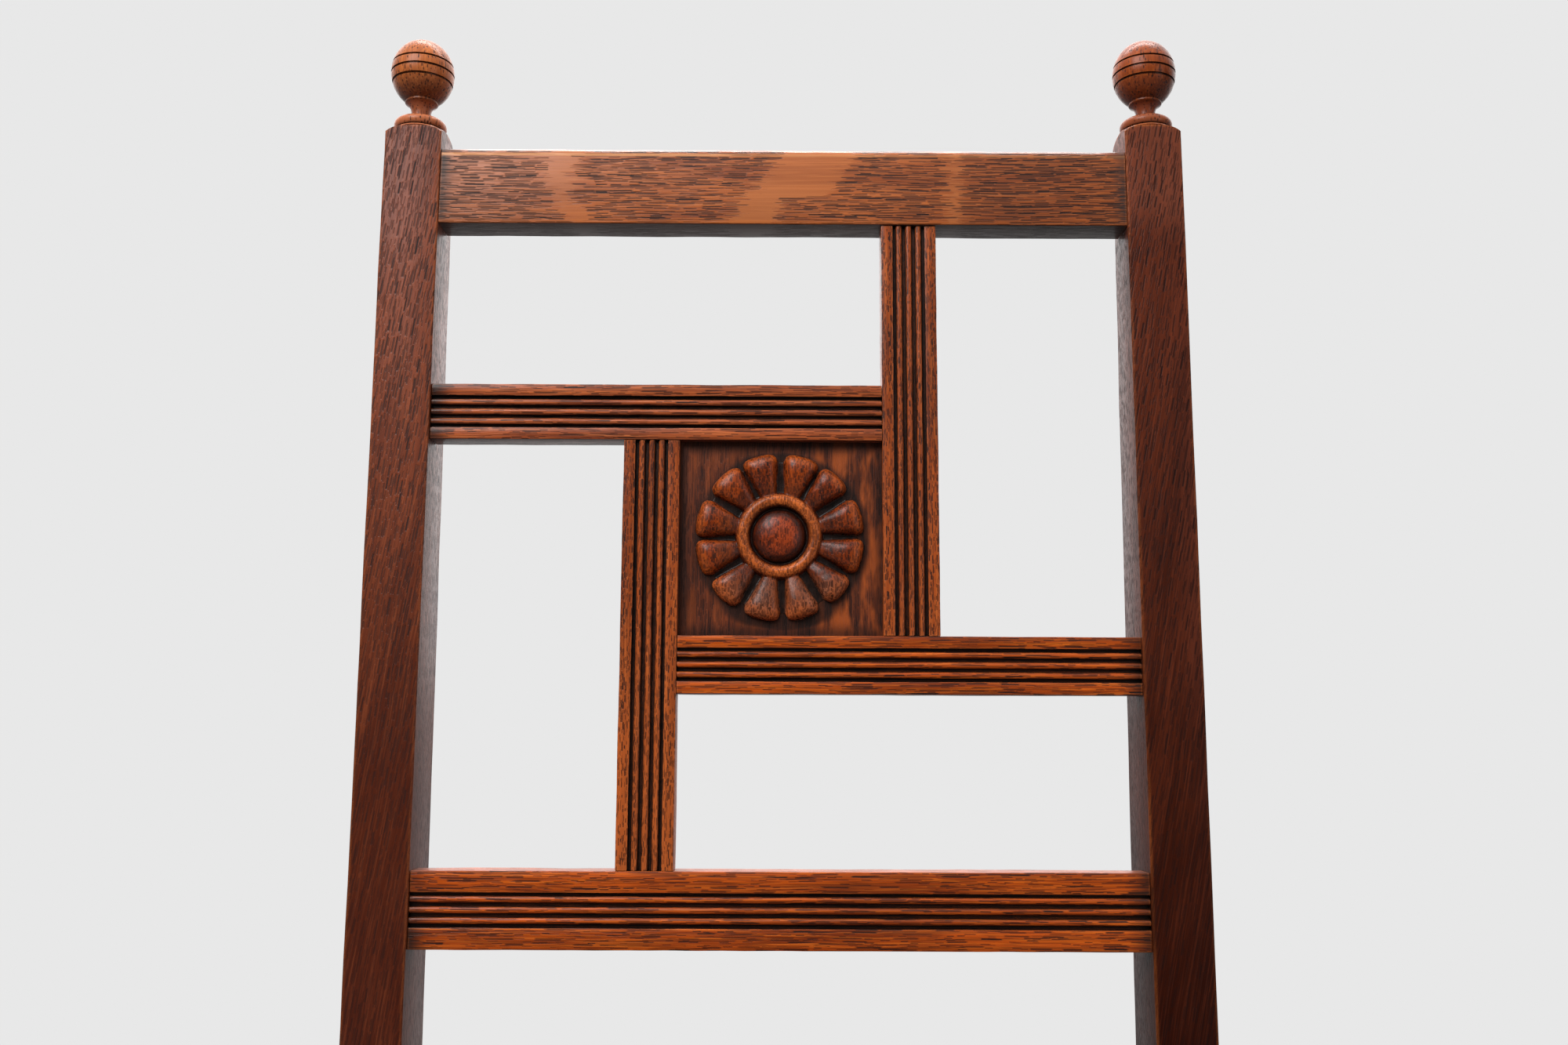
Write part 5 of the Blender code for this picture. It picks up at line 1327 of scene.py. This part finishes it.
carvedLook = {
    "pale": colour(170, 68, 22), "mid": colour(140, 51, 15), "deep": colour(100, 35, 12),
    "pores": ((0.0036, 0.0014, 0.00115, 1.0), (0.0018, 0.0011, 0.00080, 0.9)), "patches": 0.1,
    "wear": 0.25, "wearReach": 0.0018, "rub": colour(204, 98, 34), "gloss": 0.08, "polish": 0.32,
    # the deep ground between the petals, ring and boss painted dark: painted shade
    "hollow": (0.0032, 0.26, 0.75), "sunk": (groundLevel + 0.0002, groundLevel + 0.0010),
    # the lower petals paler: a painted sheen
    "fades": ((-0.018, -0.030, colour(184, 116, 84), 0.55, 1.0),),
    "rounds": ((0.026, 0.010, colour(40, 20, 14), 0.68, -0.005),        # roots of the petals
               (0.0143, 0.0050, colour(22, 13, 10), 0.92, 0.0),         # rim of the boss
               (0.0198, 0.0038, colour(222, 114, 50), 0.9, 0.0),        # the ring
               (0.0440, 0.0040, colour(204, 100, 38), 0.45, 0.0),       # ends of the petals
               (0.0, 0.012, colour(184, 76, 36), 0.6, 0.0)),            # the boss
}
groundShadowsAndDust = {                                 # painted shadow and dust: radius around the petals, heights and widths from the middle
    "front": groundLevel, "petals": (0.0497, 0.0457), "high": (0.0442, 0.0522), "wide": (0.048, 0.055),
    "ragged": 0.008, "lowLevels": (-0.030, -0.046), "lowMore": 0.004,
}
groundLook = {
    "pale": colour(142, 72, 42), "mid": colour(110, 54, 34), "deep": colour(66, 33, 22),
    "pores": ((0.010, 0.0011, 0.00065, 0.9), (0.005, 0.0009, 0.0005, 0.8)), "patches": 0.3,
    "rub": colour(172, 84, 37), "wear": 0.0, "gloss": 0.14, "polish": 0.2, "ground": groundShadowsAndDust,
}

leftPostOak = oakFinish("leftPostOak", leftUp, leanFace, backCentre, leftPostLook)
rightPostOak = oakFinish("rightPostOak", rightUp, leanFace, backCentre, rightPostLook)
leftTurnedOak = oakFinish("leftTurnedOak", leanUp, leanFace, backCentre, leftBallLook)
rightTurnedOak = oakFinish("rightTurnedOak", leanUp, leanFace, backCentre, rightBallLook)
backPost("leftPost", -1, "back_post_left", leftPostOak)
backPost("rightPost", 1, "back_post_right", rightPostOak)
finial("leftFinial", -1, "finial_left", leftTurnedOak)
finial("rightFinial", 1, "finial_right", rightTurnedOak)
crestRail("crestBoard", "crest_rail", oakFinish("crestOak", axisX, leanFace, crestCentre, crestLook))
railOak = oakFinish("railOak", axisX, leanFace, backCentre, railLook)
upperOak = oakFinish("upperOak", axisX, leanFace, backCentre, upperLook)
lattice({1: upperOak, -1: railOak}, oakFinish("stileOak", leanUp, leanFace, backCentre, stileLook))
bottomRail(railOak)
panelGround(oakFinish("groundOak", leanUp, leanFace, backCentre, groundLook))
rosette(oakFinish("carvedOak", leanUp, leanFace, carvedCentre, carvedLook))
print("back ready")

# The seat's frame and legs

seatCentre = Vector((0, postFront - plan["seatDepth"] / 2, plan["railTop"]))
frontOak = oakFinish("frontOak", axisX, -axisY, seatCentre + Vector((0.3, 0, 0.02)))
sideOak = oakFinish("sideOak", axisY, axisX, seatCentre + Vector((0, 0.4, 0.05)))
legOak = oakFinish("legOak", axisZ, -axisY, seatCentre + Vector((0.02, 0, 0.3)))
lowOak = oakFinish("lowOak", axisX, -axisY, seatCentre + Vector((0.2, 0.3, -0.1)))
frontRail(frontOak)
for side, word in bothSides:
    sideRail(side, word, sideOak)
backRail(lowOak)
for side, word in bothSides:
    frontLeg(side, word, legOak)
stretchers(sideOak, lowOak)
print("seat rails, legs and stretchers ready")

# Braces, screws and the drop-in seat

crossBeech = beechFinish("crossBeech", axisX, axisZ, seatCentre)
longBeech = beechFinish("longBeech", axisY, axisZ, seatCentre)
for end in ("front", "back"):
    dressNode("seat_frame_" + end, crossBeech, braceLook["frameArris"])
    for word in ("left", "right"):
        way = 1 if (end == "front") == (word == "right") else -1
        slanting = Vector((1, way, 0)).normalized()
        braceBeech = beechFinish(f"{end}{word.title()}Beech", slanting, axisZ, seatCentre)
        dressNode(f"corner_brace_{end}_{word}", braceBeech, braceLook["braceArris"])
for word in ("left", "right"):
    dressNode("seat_frame_" + word, longBeech, braceLook["frameArris"])
oldSteel = steelFinish("oldSteel")
for number in range(1, braceLook["screws"] + 1):
    dressNode(f"brace_screw_{number}", oldSteel, 0)
webbing(wovenFinish("longWeb", axisY, webLook), wovenFinish("crossWeb", axisX, webLook))
hessian(wovenFinish("hessianWeave", axisX, hessianLook))
leatherSeat(leatherFinish("oldLeather"))
print("drop-in seat ready")

bpy.context.scene.view_settings.view_transform = "Standard"
